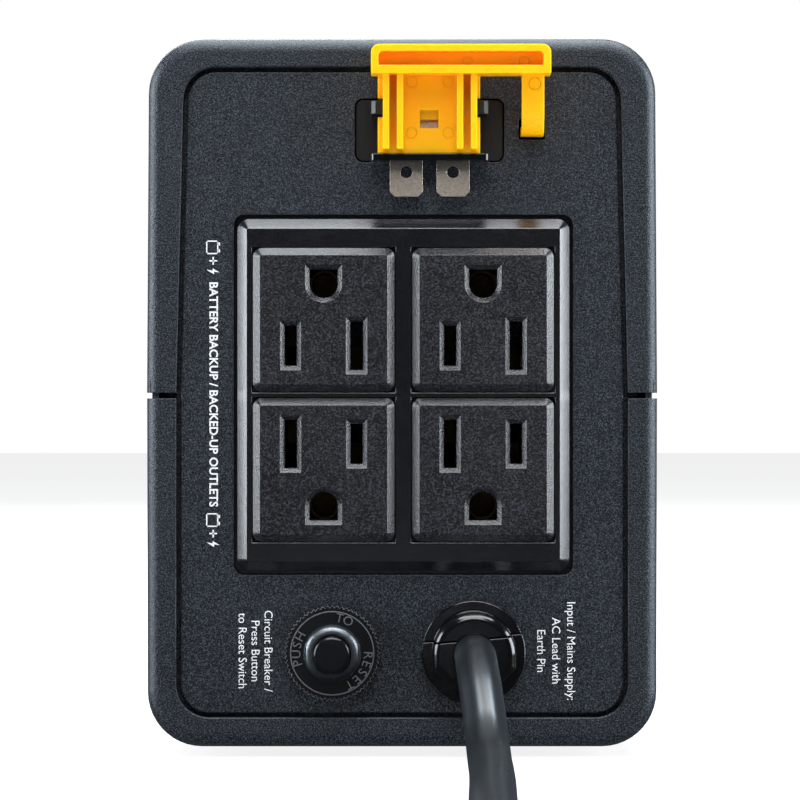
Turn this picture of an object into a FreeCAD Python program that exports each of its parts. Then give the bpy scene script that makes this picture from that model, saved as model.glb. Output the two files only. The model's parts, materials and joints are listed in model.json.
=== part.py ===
import FreeCAD, Part
import math
import os
import re

import Sketcher

# A small tower uninterruptible power supply, in millimetres.
# Frame: +Z up, feet on Z = 0, X across, -Y the front with the power button, +Y the rear with the outlets.
# The origin is under the middle of the object's box, its cord left out.

Vector = FreeCAD.Vector
ALONG = {"X": Vector(1, 0, 0), "Y": Vector(0, 1, 0), "Z": Vector(0, 0, 1)}

# ---------------------------------------------------------------- driving dimensions
SIZES = {
    # case
    "case_deep": 285, "case_wide": 98.8, "case_wide_top": 98, "case_wide_low": 98.5,
    "case_top": 139, "foot_high": 2, "seam_low": 69.4, "seam_high": 70.5,
    "corner_round": 10.6, "wall": 2.5, "rim_thick": 3, "cover_edge": 2.6, "tray_edge": 2.8,
    "bezel_deep": 14, "bezel_edge": 5, "inner_corner": 6,
    "boss_across": 40, "boss_front": 127, "boss_rear": 122, "boss_radius": 4.4, "post_radius": 3.8,
    "screw_seat": 52, "boss_top": 58, "screw_radius": 1.5,
    # rear panel
    "panel_inset": 0.8, "panel_wide": 85.5, "panel_wide_top": 82.5, "panel_low": 8.65, "panel_top": 132.5,
    "panel_gap": 0.85, "panel_round": 5.5, "panel_thick": 2.5, "panel_flange": 2,
    # outlets
    "outlet_middle": 70.1, "outlet_shift": 0.25, "column_pitch": 30.7, "row_pitch": 28.9,
    "face_wide": 27.3, "face_tall": 27.7, "face_stand": 3.5, "face_bevel": 1.4,
    "module_wide": 64.2, "module_tall": 68, "module_stand": 2,
    "blade_pitch": 12.7, "blade_drop": 5, "ground_rise": 6.9,
    "narrow_wide": 2.3, "narrow_tall": 7.7, "wide_wide": 2.4, "wide_tall": 9.3, "ground_radius": 2.7,
    # battery connector
    "socket_across": 5.3, "socket_height": 121.2, "socket_wide": 28.3, "socket_tall": 11.7,
    "plug_stand": 12.2, "handle_wide": 34.2, "handle_across": 11.2, "handle_low": 131.2, "handle_tall": 5.5,
    "tab_wide": 6.3, "tab_thick": 0.8, "tab_pitch": 9, "tab_low": 108.2,
    # circuit breaker
    "breaker_across": 13.45, "breaker_height": 20.35, "nut_radius": 9.2, "nut_thick": 3,
    "bushing_radius": 5.4, "button_radius": 3.5, "button_stand": 9,
    # cord and its grip
    "grip_across": 13.8, "grip_height": 20.4, "flange_radius": 10, "nose_radius": 8, "nose_stand": 9.5,
    "cord_radius": 4, "coil_across": 14, "coil_middle": 424, "coil_outer": 58, "coil_inner": 34,
    # battery, 12 V 7 Ah block
    "battery_long": 151, "battery_wide": 65, "battery_tall": 94, "battery_back": 29.2,
    "battery_across": 10, "battery_low": 7,
    # transformer
    "core_across": 3, "core_wide": 66, "core_tall": 55, "core_stack": 42, "core_middle": 66, "core_low": 8,
    # main board
    "board_across": 41, "board_thick": 1.6, "board_low": 12, "board_top": 124,
    "board_front": 119, "board_rear": 114,
    # power button
    "button_height": 108, "power_radius": 8.9,
}

doc = FreeCAD.newDocument("PowerSupply")
sheet = doc.addObject("Spreadsheet::Sheet", "Sizes")
for row, (alias, number) in enumerate(SIZES.items(), 1):
    sheet.set(f"A{row}", alias)
    sheet.set(f"B{row}", str(number))
    sheet.setAlias(f"B{row}", alias)
doc.recompute()

# Planes that many pieces are placed from, as formulas of the sheet.
RIM = "((case_deep-plug_stand)/2)"
FRONT = "(-(case_deep+plug_stand)/2)"
PANEL = f"({RIM}-panel_inset)"
BEZEL_BACK = f"({FRONT}+bezel_deep)"
BEHIND_PANEL = f"({PANEL}-panel_thick)"
CLEAR = 0.3


def formula(text):
    """The same formula with each alias taken from the sheet."""
    return re.sub(r"[a-z][a-z_]+", lambda word: "Sizes." + word.group(0), str(text))


def value(text):
    """What a formula comes to now."""
    return float(sheet.evalExpression(str(text)))


def bind(thing, prop, text):
    thing.setExpression(prop, formula(text))


# ---------------------------------------------------------------- primitives and booleans
def box(name, x, y, z):
    """A Part::Box from three (low, high) pairs of formulas."""
    thing = doc.addObject("Part::Box", name)
    for size, place, (low, high) in (("Length", "x", x), ("Width", "y", y), ("Height", "z", z)):
        bind(thing, size, f"({high})-({low})")
        bind(thing, "Placement.Base." + place, low)
    return thing


def rod(name, axis, centre, start, stop, radius):
    """A Part::Cylinder along an axis; centre holds its other two coordinates in X, Y, Z order."""
    thing = doc.addObject("Part::Cylinder", name)
    thing.Placement = FreeCAD.Placement(Vector(), FreeCAD.Rotation(ALONG["Z"], ALONG[axis]))
    bind(thing, "Radius", radius)
    bind(thing, "Height", f"({stop})-({start})")
    places = list(centre)
    places.insert("XYZ".index(axis), start)
    for letter, place in zip("xyz", places):
        bind(thing, "Placement.Base." + letter, place)
    return thing


def fuse(name, things):
    thing = doc.addObject("Part::MultiFuse", name)
    thing.Shapes = things
    return thing


def cut(name, base, tools):
    thing = doc.addObject("Part::Cut", name)
    thing.Base = base
    thing.Tool = tools[0] if len(tools) == 1 else fuse(name + "_tools", tools)
    return thing


def group(name, things):
    """Separate solids that share one node."""
    thing = doc.addObject("Part::Compound", name)
    thing.Links = things
    return thing


def shaped(name, shape, place=FreeCAD.Placement()):
    """A Part::Feature, for a shape that no feature or primitive makes."""
    thing = doc.addObject("Part::Feature", name)
    thing.Shape = shape
    thing.Placement = place
    return thing


# ---------------------------------------------------------------- sketch outlines
def polygon(*points):
    """A closed outline whose corners are pairs of formulas."""
    def draw(sketch):
        first = sketch.GeometryCount
        places = [Vector(value(across), value(up), 0) for across, up in points]
        last = len(points) - 1
        for i, place in enumerate(places):
            sketch.addGeometry(Part.LineSegment(place, places[0 if i == last else i + 1]), False)
        for i in range(len(points)):
            after = first if i == last else first + i + 1
            sketch.addConstraint(Sketcher.Constraint("Coincident", first + i, 2, after, 1))
        for i, (across, up) in enumerate(points):
            fix(sketch, "DistanceX", first + i, 1, across, places[i].x)
            fix(sketch, "DistanceY", first + i, 1, up, places[i].y)
    return draw


def fix(sketch, kind, geometry, point, text, now):
    """Hold a point's coordinate at a formula's value."""
    made = sketch.addConstraint(Sketcher.Constraint(kind, -1, 1, geometry, point, now))
    bind(sketch, f"Constraints[{made}]", text)


def rectangle(low_x, high_x, low_y, high_y):
    return polygon((low_x, low_y), (high_x, low_y), (high_x, high_y), (low_x, high_y))


def circle(across, up, radius):
    def draw(sketch):
        centre = Vector(value(across), value(up), 0)
        made = sketch.addGeometry(Part.Circle(centre, ALONG["Z"], value(radius)), False)
        fix(sketch, "DistanceX", made, 3, across, centre.x)
        fix(sketch, "DistanceY", made, 3, up, centre.y)
        size = sketch.addConstraint(Sketcher.Constraint("Radius", made, value(radius)))
        bind(sketch, f"Constraints[{size}]", radius)
    return draw


def dome(across, up, radius, way, *corners):
    """Half a circle above a centre (below it where way is -1), closed through corners measured from it.

    The corners run from the half circle's -X end to its +X end, as they lie where way is 1."""
    if way < 0:
        corners = [(right, f"-({rise})") for right, rise in reversed(corners)]

    def draw(sketch):
        centre = Vector(value(across), value(up), 0)
        ring = Part.Circle(centre, ALONG["Z"], value(radius))
        turn = (0, math.pi) if way > 0 else (math.pi, 2 * math.pi)
        arc = sketch.addGeometry(Part.ArcOfCircle(ring, *turn), False)
        start, end = sketch.getPoint(arc, 1), sketch.getPoint(arc, 2)
        offsets = [Vector(value(right), value(rise), 0) for right, rise in corners]
        places = [end] + [centre + offset for offset in offsets] + [start]
        before = (arc, 2)
        for i in range(len(places) - 1):
            line = sketch.addGeometry(Part.LineSegment(places[i], places[i + 1]), False)
            sketch.addConstraint(Sketcher.Constraint("Coincident", *before, line, 1))
            if i < len(corners):
                right, rise = corners[i]
                fix(sketch, "DistanceX", line, 2, f"({across})+({right})", places[i + 1].x)
                fix(sketch, "DistanceY", line, 2, f"({up})+({rise})", places[i + 1].y)
            before = (line, 2)
        sketch.addConstraint(Sketcher.Constraint("Coincident", *before, arc, 1))
        fix(sketch, "DistanceX", arc, 3, across, centre.x)
        fix(sketch, "DistanceY", arc, 3, up, centre.y)
        for end_point in (1, 2):
            fix(sketch, "DistanceY", arc, end_point, up, centre.y)
        size = sketch.addConstraint(Sketcher.Constraint("Radius", arc, value(radius)))
        bind(sketch, f"Constraints[{size}]", radius)
    return draw


# ---------------------------------------------------------------- PartDesign bodies
class Moulding:
    """One PartDesign::Body, built feature by feature from its own origin planes."""

    # Per plane: its role, the sign from a place on the axis to the sketch's own offset, and whether
    # a pad and a pocket have to be reversed to run towards the axis's higher end.
    PLANES = {"Y": ("XZ_Plane", -1, True, False), "Z": ("XY_Plane", 1, False, True),
              "X": ("YZ_Plane", 1, False, True)}

    def __init__(self, name):
        self.body = doc.addObject("PartDesign::Body", name)
        self.last = None
        self.count = 0

    def name(self, what):
        self.count += 1
        return f"{self.body.Name}_{what}_{self.count}"

    def sketch(self, axis, start, outlines):
        role, sign, _, _ = self.PLANES[axis]
        plane = next(part for part in self.body.Origin.OriginFeatures if part.Role == role)
        sketch = self.body.newObject("Sketcher::SketchObject", self.name("sketch"))
        sketch.AttachmentSupport = [(plane, "")]
        sketch.MapMode = "FlatFace"
        bind(sketch, ".AttachmentOffset.Base.z", f"{sign}*({start})")
        for draw in outlines:
            draw(sketch)
        return sketch

    def extrude(self, kind, axis, start, stop, outlines):
        sketch = self.sketch(axis, start, outlines)
        feature = self.body.newObject("PartDesign::" + kind, self.name(kind.lower()))
        feature.Profile = sketch
        feature.Reversed = self.PLANES[axis][2 if kind == "Pad" else 3]
        bind(feature, "Length", f"({stop})-({start})")
        self.last = feature
        return self

    def pad(self, axis, start, stop, *outlines):
        return self.extrude("Pad", axis, start, stop, outlines)

    def pocket(self, axis, start, stop, *outlines):
        return self.extrude("Pocket", axis, start, stop, outlines)

    def dress(self, kind, prop, size, choose):
        doc.recompute()
        names = [f"Edge{i}" for i, edge in enumerate(self.last.Shape.Edges, 1) if choose(edge)]
        if not names:
            raise RuntimeError(f"{self.body.Name}: no edge to dress")
        feature = self.body.newObject("PartDesign::" + kind, self.name(kind.lower()))
        feature.Base = (self.last, names)
        bind(feature, prop, size)
        self.last = feature
        return self

    def fillet(self, size, choose):
        return self.dress("Fillet", "Radius", size, choose)

    def chamfer(self, size, choose):
        return self.dress("Chamfer", "Size", size, choose)


def middle(edge):
    return edge.valueAt((edge.FirstParameter + edge.LastParameter) / 2)


def runs(edge, axis):
    """True where an edge is straight along an axis."""
    if edge.Curve.TypeId != "Part::GeomLine":
        return False
    return abs(abs(edge.tangentAt(edge.FirstParameter).dot(ALONG[axis])) - 1) < 0.001


def lies_at(edge, axis, text):
    """True where a whole edge lies in the plane at a formula's value on an axis."""
    place, at = "XYZ".index(axis), value(text)
    return all(abs(vertex.Point[place] - at) < 0.01 for vertex in edge.Vertexes) and \
        abs(middle(edge)[place] - at) < 0.01


def mirrored(make):
    """The outlines that make(sign) gives on both sides."""
    return [make(sign) for sign in (-1, 1)]


BOSSES = [(f"{side}*boss_across", place) for side in (-1, 1) for place in ("-boss_front", "boss_rear")]
BOARD_GUIDES = (-60, 60)


def board_guides():
    """Two pairs of ribs, one either side of the board, at each of its guides."""
    outlines = []
    for along in BOARD_GUIDES:
        for low in ("board_across-1.1", "board_across+board_thick+0.2"):
            outlines.append(rectangle(low, f"{low}+0.9", along - 4, along + 4))
    return outlines


def vents(low, high):
    """Slots through both side walls beside the transformer and the board."""
    return [rectangle(36 + 6 * i, 38.2 + 6 * i, low, high) for i in range(9)]


# ---------------------------------------------------------------- case
def top_cover():
    part = Moulding("top_cover")
    part.pad("Y", BEZEL_BACK, RIM, polygon(
        ("-case_wide/2", "seam_high"), ("case_wide/2", "seam_high"),
        ("case_wide_top/2", "case_top"), ("-case_wide_top/2", "case_top")))
    top = value("case_top")
    part.fillet("corner_round", lambda edge: runs(edge, "Y") and middle(edge).z > top - 0.1)
    seam = value("seam_high")
    part.fillet("cover_edge", lambda edge: lies_at(edge, "Y", RIM) and middle(edge).z > seam + 0.5)
    side, roof = "case_wide/2-wall", "case_top-wall"
    part.pocket("Y", f"{BEZEL_BACK}-1", f"{RIM}-rim_thick", polygon(
        (f"-({side})", "seam_high-1"), (side, "seam_high-1"),
        ("case_wide_top/2-wall", f"{roof}-inner_corner"), ("case_wide_top/2-wall-inner_corner", roof),
        ("-(case_wide_top/2-wall-inner_corner)", roof),
        ("-(case_wide_top/2-wall)", f"{roof}-inner_corner")))
    part.pocket("Y", f"{RIM}-rim_thick-1", f"{RIM}+1", polygon(
        ("-(panel_wide/2+panel_gap)", "seam_high-1"), ("panel_wide/2+panel_gap", "seam_high-1"),
        ("panel_wide_top/2+panel_gap", "panel_top+panel_gap"),
        ("-(panel_wide_top/2+panel_gap)", "panel_top+panel_gap")))
    reach = value("panel_wide_top/2+panel_gap")
    ledge = value("panel_top+panel_gap")
    part.fillet("panel_round+panel_gap", lambda edge: runs(edge, "Y")
                and abs(abs(middle(edge).x) - reach) < 0.1 and abs(middle(edge).z - ledge) < 0.1)
    part.fillet(0.3, lambda edge: lies_at(edge, "Y", RIM) and abs(middle(edge).x) < reach + 0.5
                and middle(edge).z < ledge + 0.5)
    # The rebate that the tray's tongue enters.
    part.pocket("Y", f"{BEZEL_BACK}-1", f"{RIM}-0.7", *mirrored(lambda sign: rectangle(
        f"{sign}*(case_wide/2-1.7)-0.9", f"{sign}*(case_wide/2-1.7)+0.9", "seam_high-1", "seam_high+2.3")))
    part.pad("Z", f"boss_top+{CLEAR}", f"{roof}+0.1",
             *[circle(x, y, "post_radius") for x, y in BOSSES])
    part.pocket("Z", "boss_top", "boss_top+16", *[circle(x, y, "screw_radius+0.05") for x, y in BOSSES])
    part.pad("Z", "board_top-6", f"{roof}+0.1", *board_guides())
    # Ribs that press on the battery's upper pad.
    part.pad("Z", "battery_low+battery_tall+2.6", f"{roof}+0.1", rectangle(-30, 10, -80, -78),
             rectangle(-30, 10, -20, -18))
    part.pocket("X", "-case_wide", "case_wide", *vents(88, 110))


def bottom_tray():
    part = Moulding("bottom_tray")
    part.pad("Y", BEZEL_BACK, RIM, polygon(
        ("-case_wide_low/2", "foot_high"), ("case_wide_low/2", "foot_high"),
        ("case_wide/2", "seam_low"), ("-case_wide/2", "seam_low")))
    base = value("foot_high")
    part.fillet("corner_round", lambda edge: runs(edge, "Y") and middle(edge).z < base + 0.1)
    seam = value("seam_low")
    part.fillet("tray_edge", lambda edge: lies_at(edge, "Y", RIM) and middle(edge).z < seam - 0.5)
    side, floor = "case_wide_low/2-wall", "foot_high+wall"
    part.pocket("Y", f"{BEZEL_BACK}-1", f"{RIM}-rim_thick", polygon(
        (f"-({side})", f"{floor}+inner_corner"), (f"-({side}-inner_corner)", floor),
        (f"{side}-inner_corner", floor), (side, f"{floor}+inner_corner"),
        ("case_wide/2-wall", "seam_low+1"), ("-(case_wide/2-wall)", "seam_low+1")))
    part.pocket("Y", f"{RIM}-rim_thick-1", f"{RIM}+1", rectangle(
        "-(panel_wide/2+panel_gap)", "panel_wide/2+panel_gap", "panel_low-panel_gap", "seam_low+1"))
    reach = value("panel_wide/2+panel_gap")
    ledge = value("panel_low-panel_gap")
    part.fillet("panel_round+panel_gap", lambda edge: runs(edge, "Y")
                and abs(abs(middle(edge).x) - reach) < 0.1 and abs(middle(edge).z - ledge) < 0.1)
    part.fillet(0.3, lambda edge: lies_at(edge, "Y", RIM) and abs(middle(edge).x) < reach + 0.5
                and middle(edge).z > ledge - 0.5)
    # The tongue along both sides of the seam.
    part.pad("Y", f"{BEZEL_BACK}+1", f"{RIM}-0.9", *mirrored(lambda sign: rectangle(
        f"{sign}*(case_wide/2-1.7)-0.6", f"{sign}*(case_wide/2-1.7)+0.6", "seam_low-2", "seam_low+3")))
    low = f"{floor}-0.1"
    part.pad("Z", low, "boss_top", *[circle(x, y, "boss_radius") for x, y in BOSSES])
    part.pad("Z", low, "board_low+8", *board_guides())
    part.pad("Z", low, "board_low-0.1", *[rectangle(
        "board_across-1.1", "board_across+board_thick+1.1", along - 4, along + 4) for along in BOARD_GUIDES])
    # Ribs that box the battery in.
    left, right = "-battery_across-battery_wide/2", "-battery_across+battery_wide/2"
    back, ahead = "battery_back", "battery_back-battery_long"
    part.pad("Z", low, 22, rectangle(f"{left}+4", right, f"{ahead}-2.6", f"{ahead}-0.4"),
             rectangle(f"{left}+4", right, f"{back}+0.4", f"{back}+2.6"),
             rectangle(f"{right}+0.4", f"{right}+2.2", -95, -75),
             rectangle(f"{right}+0.4", f"{right}+2.2", -20, 0))
    # Seats for the transformer's core and bosses for its strap.
    part.pad("Z", low, "core_low-0.1", *mirrored(lambda sign: rectangle(
        "-core_across-core_wide/2+4", "-core_across+core_wide/2-4",
        f"core_middle+{sign}*14-1.2", f"core_middle+{sign}*14+1.2")))
    part.pad("Z", low, "core_low-0.5", *mirrored(lambda sign: circle(
        f"-core_across+{sign}*(core_wide/2+4.4)", "core_middle", 2.8)))
    part.pocket("Z", "foot_high-1", "screw_seat", *[circle(x, y, 3.3) for x, y in BOSSES])
    part.pocket("Z", "screw_seat-0.1", "boss_top+1", *[circle(x, y, "screw_radius+0.3") for x, y in BOSSES])
    part.pocket("X", "-case_wide", "case_wide", *vents(32, 56))


def rear_panel():
    part = Moulding("rear_panel")
    back = f"({BEHIND_PANEL}-panel_flange)"
    part.pad("Y", back, PANEL, polygon(
        ("-panel_wide/2", "panel_low"), ("panel_wide/2", "panel_low"), ("panel_wide/2", "seam_high"),
        ("panel_wide_top/2", "panel_top"), ("-panel_wide_top/2", "panel_top"),
        ("-panel_wide/2", "seam_high")))
    low, high = value("panel_low+0.1"), value("panel_top-0.1")
    part.fillet("panel_round", lambda edge: runs(edge, "Y")
                and (middle(edge).z < low or middle(edge).z > high))
    part.fillet(0.25, lambda edge: lies_at(edge, "Y", PANEL))
    # The flange that the two shells hold from behind their rims.
    part.pad("Y", back, f"{RIM}-rim_thick-{CLEAR}", polygon(
        (-44.5, 9), (-40.5, 6.2), (40.5, 6.2), (44.5, 9), (45.6, "seam_high"), (44.8, 130),
        (40.5, 135.2), (-40.5, 135.2), (-44.8, 130), (-45.6, "seam_high")))
    part.pocket("Y", f"{back}-1", BEHIND_PANEL, rectangle(-40, 40, 11, 130))
    # Cut-outs for the outlet module, the battery socket, the connector's hook, the breaker and the cord grip.
    wide, tall = "(module_wide/2+0.65)", "(module_tall/2+0.8)"
    part.pocket("Y", f"{BEHIND_PANEL}-1", f"{PANEL}+1",
                rectangle(f"-outlet_shift-{wide}", f"-outlet_shift+{wide}",
                          f"outlet_middle-{tall}", f"outlet_middle+{tall}"),
                rectangle(f"-socket_across-socket_wide/2-{CLEAR}", f"-socket_across+socket_wide/2+{CLEAR}",
                          f"socket_height-socket_tall/2-{CLEAR}", f"socket_height+socket_tall/2+{CLEAR}"),
                rectangle(-27.6, -22.5, 119.4, 123.4),
                circle("breaker_across", "breaker_height", "bushing_radius+0.3"),
                circle("-grip_across", "grip_height", "nose_radius-0.5"))
    span = value("module_wide/2+outlet_shift+2")
    part.fillet(1.9, lambda edge: runs(edge, "Y") and 30 < abs(middle(edge).x) < span
                and 30 < middle(edge).z < 110)
    part.fillet(1.6, lambda edge: runs(edge, "Y") and -20 < middle(edge).x < 10
                and 113 < middle(edge).z < 129)


def front_bezel():
    part = Moulding("front_bezel")
    back = f"({BEZEL_BACK}-{CLEAR})"
    middle_seam = "(seam_low+seam_high)/2"
    part.pad("Y", FRONT, back, polygon(
        ("-case_wide_low/2", "foot_high"), ("case_wide_low/2", "foot_high"), ("case_wide/2", middle_seam),
        ("case_wide_top/2", "case_top"), ("-case_wide_top/2", "case_top"), ("-case_wide/2", middle_seam)))
    low, high = value("foot_high+0.1"), value("case_top-0.1")
    part.fillet("corner_round", lambda edge: runs(edge, "Y")
                and (middle(edge).z < low or middle(edge).z > high))
    part.fillet("bezel_edge", lambda edge: lies_at(edge, "Y", FRONT))

    def inset(depth, slack):
        """The case's outline brought in by a depth, its corners cut across."""
        side, base, roof = f"(case_wide_top/2-{depth})", f"(foot_high+{depth})", f"(case_top-{depth})"
        return polygon(
            (f"-{side}+{slack}", base), (f"{side}-{slack}", base), (side, f"{base}+{slack}"),
            (side, f"{roof}-{slack}"), (f"{side}-{slack}", roof), (f"-{side}+{slack}", roof),
            (f"-{side}", f"{roof}-{slack}"), (f"-{side}", f"{base}+{slack}"))

    part.pad("Y", f"{FRONT}+8", f"{BEZEL_BACK}+2.8", inset(2.9, 6.2))
    part.pocket("Y", f"{FRONT}+2.8", f"{BEZEL_BACK}+4", inset(4.4, 6.2))
    # The recessed field, with the button's hole and three indicator windows.
    part.pocket("Y", f"{FRONT}-1", f"{FRONT}+1.2", rectangle(-24, 24, 24, 124))
    part.fillet(7, lambda edge: runs(edge, "Y") and 23.9 < abs(middle(edge).x) < 24.1
                and 23 < middle(edge).z < 125 and middle(edge).y < value(FRONT) + 2)
    part.pocket("Y", f"{FRONT}-1", f"{FRONT}+4", circle(0, "button_height", "power_radius+0.3"),
                *[rectangle(-6.1, 6.1, high - 1.3, high + 1.3) for high in (90, 84, 78)])
    # Decorative grooves across the lower field.
    part.pocket("Y", f"{FRONT}+0.9", f"{FRONT}+1.9", *[rectangle(-17, 17, high, high + 1.6)
                                                   for high in (34, 39, 44, 49, 54, 59)])
    # Two posts for the front board.
    part.pad("Y", f"{FRONT}+2.7", f"{FRONT}+19.9", *mirrored(lambda sign: circle(f"{sign}*15", 68, 3)))
    part.pocket("Y", f"{FRONT}+12", f"{FRONT}+21", *mirrored(lambda sign: circle(f"{sign}*15", 68, 1.05)))


def case_screws():
    """Four screws up through the tray's wells into the cover's posts."""
    screws = []
    for i, (x, y) in enumerate(BOSSES):
        head = rod(f"screw_head_{i}", "Z", (x, y), "screw_seat-2.3", "screw_seat-0.02", 2.9)
        shank = rod(f"screw_shank_{i}", "Z", (x, y), "screw_seat-0.1", "boss_top+15", "screw_radius")
        screws.append(fuse(f"screw_{i}", [head, shank]))
    group("case_screws", screws)


def rubber_feet():
    """Four feet stuck under the tray."""
    group("rubber_feet", [rod(f"foot_{i}", "Z", (x, y), 0, "foot_high-0.01", 6)
                          for i, (x, y) in enumerate((x, y) for x in (-28, 28) for y in (-112, 98))])


# ---------------------------------------------------------------- outlets
COLUMNS = {"left": "(-outlet_shift+column_pitch/2)", "right": "(-outlet_shift-column_pitch/2)"}
ROWS = {"upper": ("(outlet_middle+row_pitch/2)", 1), "lower": ("(outlet_middle-row_pitch/2)", -1)}
OUTLETS = [(f"{row}_{column}_outlet", COLUMNS[column], ROWS[row][0], ROWS[row][1])
           for row in ROWS for column in COLUMNS]


def outlet_bezel():
    part = Moulding("outlet_bezel")
    x, z = "-outlet_shift", "outlet_middle"
    back = f"({BEHIND_PANEL}-2.1)"
    part.pad("Y", back, f"{PANEL}+module_stand", rectangle(
        f"{x}-module_wide/2", f"{x}+module_wide/2", f"{z}-module_tall/2", f"{z}+module_tall/2"))
    part.fillet(2.3, lambda edge: runs(edge, "Y"))
    part.chamfer("module_stand-0.1", lambda edge: lies_at(edge, "Y", f"{PANEL}+module_stand"))
    part.pad("Y", back, f"{BEHIND_PANEL}-{CLEAR}", rectangle(
        f"{x}-module_wide/2-2.6", f"{x}+module_wide/2+2.6",
        f"{z}-module_tall/2-2.6", f"{z}+module_tall/2+2.6"))
    part.pocket("Y", f"{back}-1", PANEL, rectangle(
        f"{x}-module_wide/2+1.3", f"{x}+module_wide/2-1.3",
        f"{z}-module_tall/2+1.8", f"{z}+module_tall/2-1.8"))
    part.pocket("Y", f"{back}-1", f"{PANEL}+module_stand+1", *[rectangle(
        f"{across}-face_wide/2-0.2", f"{across}+face_wide/2+0.2", f"{up}-face_tall/2-0.2",
        f"{up}+face_tall/2+0.2") for _, across, up, _ in OUTLETS])


def outlet_face(name, across, up, way):
    """One outlet: ground hole up where way is 1, down where it is -1."""
    part = Moulding(name)
    face = f"{PANEL}+face_stand"
    part.pad("Y", f"{PANEL}-0.2", face, rectangle(
        f"{across}-face_wide/2", f"{across}+face_wide/2", f"{up}-face_tall/2", f"{up}+face_tall/2"))
    part.fillet("face_bevel+0.4", lambda edge: runs(edge, "Y"))
    part.chamfer("face_bevel", lambda edge: lies_at(edge, "Y", face))
    part.pad("Y", f"{PANEL}-1.8", f"{PANEL}-0.2", rectangle(
        f"{across}-face_wide/2-1.4", f"{across}+face_wide/2+1.4",
        f"{up}-face_tall/2-0.4", f"{up}+face_tall/2+0.4"))
    blade = f"({up}-{way}*blade_drop)"
    narrow, wide = f"({across}+{way}*blade_pitch/2)", f"({across}-{way}*blade_pitch/2)"
    part.pocket("Y", f"{PANEL}-3", f"{face}+1",
                rectangle(f"{narrow}-narrow_wide/2", f"{narrow}+narrow_wide/2",
                          f"{blade}-narrow_tall/2", f"{blade}+narrow_tall/2"),
                rectangle(f"{wide}-wide_wide/2", f"{wide}+wide_wide/2",
                          f"{blade}-wide_tall/2", f"{blade}+wide_tall/2"),
                dome(across, f"{up}+{way}*ground_rise", "ground_radius", -way,
                     ("-ground_radius", -2.8), ("ground_radius", -2.8)))
    edge_x, edge_z = value(f"{across}"), value(f"{up}")
    inner = value("face_wide/2-face_bevel-0.2")
    part.chamfer(0.85, lambda edge: lies_at(edge, "Y", face)
                 and abs(middle(edge).x - edge_x) < inner and abs(middle(edge).z - edge_z) < inner)


def blade_places():
    """(name, across, height, which bus) of each blade contact."""
    for name, across, up, way in OUTLETS:
        for bus, side in (("line", way), ("neutral", -way)):
            yield name, f"({across}+({side})*blade_pitch/2)", f"({up}-{way}*blade_drop)", bus


def outlet_contact_carrier():
    part = Moulding("outlet_contact_carrier")
    x, z = "-outlet_shift", "outlet_middle"
    part.pad("Y", f"{PANEL}-16", f"{PANEL}-2", rectangle(f"{x}-29.5", f"{x}+29.5", f"{z}-29.5", f"{z}+29.5"))
    part.fillet(2, lambda edge: runs(edge, "Y"))
    part.pocket("Y", f"{PANEL}-17", f"{PANEL}-1",
                *[rectangle(f"{across}-2", f"{across}+2", f"{up}-5", f"{up}+5")
                  for _, across, up, _ in blade_places()],
                *[rectangle(f"{across}-3.4", f"{across}+3.4", f"{up}+{way}*ground_rise-3.4",
                            f"{up}+{way}*ground_rise+3.4") for _, across, up, way in OUTLETS])


STRIP = (f"{PANEL}-17.9", f"{PANEL}-17.1")
LEAVES = (f"{PANEL}-17.2", f"{PANEL}-7")


def bus(name, which, strips):
    """One bus: strips behind the carrier, and a pair of spring leaves behind each blade slot."""
    pieces = [box(f"{name}_strip_{i}", x, STRIP, z) for i, (x, z) in enumerate(strips)]
    for i, (_, across, up, kind) in enumerate(blade_places()):
        if kind != which:
            continue
        for side in (-1, 1):
            middle_leaf = f"({across}+{side}*1.5)"
            pieces.append(box(f"{name}_leaf_{i}_{side + 1}", (f"{middle_leaf}-0.3", f"{middle_leaf}+0.3"),
                              LEAVES, (f"{up}-4.2", f"{up}+4.2")))
        reach = f"({up}+4.2)" if (value(up) > value("outlet_middle")) == (which == "line") else f"({up}-4.2)"
        far = f"({reach}+1)" if reach.endswith("+4.2)") else f"({reach}-1)"
        low, high = sorted((f"({up})", far), key=value)
        pieces.append(box(f"{name}_link_{i}", (f"{across}-1.35", f"{across}+1.35"), STRIP, (low, high)))
    return fuse(name, pieces)


def outlet_contacts():
    middle_z = "outlet_middle"
    upper, lower = f"({middle_z}+14.2)", f"({middle_z}-14.2)"
    bus("line_contacts", "line", [
        (("-24", "29"), (upper, f"{upper}+3")), (("-24", "29"), (f"{lower}-3", lower)),
        (("26", "29"), (f"{lower}-3", f"{upper}+3"))])
    bus("neutral_contacts", "neutral", [(("-24", "24"), (f"{middle_z}-5", f"{middle_z}+5"))])
    pieces = [box("ground_link", (-28.5, -25.5), STRIP, (f"{middle_z}-26", f"{middle_z}+26"))]
    for i, (_, across, up, way) in enumerate(OUTLETS):
        height = f"({up}+{way}*ground_rise)"
        tube = rod(f"ground_tube_{i}", "Y", (across, height), *LEAVES, 3)
        bore = rod(f"ground_bore_{i}", "Y", (across, height), f"{PANEL}-17.1", f"{PANEL}-3", 2.45)
        pieces.append(cut(f"ground_sleeve_{i}", tube, [bore]))
    for i, sign in enumerate((-1, 1)):
        height = f"({middle_z}+{sign}*(row_pitch/2+ground_rise))"
        beside = f"({height}+{sign}*3.3)"
        pieces.append(box(f"ground_strip_{i}", (-28.5, 18.5), STRIP, (f"{beside}-0.9", f"{beside}+0.9")))
    fuse("ground_contacts", pieces)


# ---------------------------------------------------------------- battery connector
HANDLE = {"plate": (f"({PANEL}+4)", f"({PANEL}+6)"), "rib": f"({PANEL}+10.6)",
          "bar": (f"({PANEL}+5)", f"({RIM}+plug_stand)")}


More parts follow.
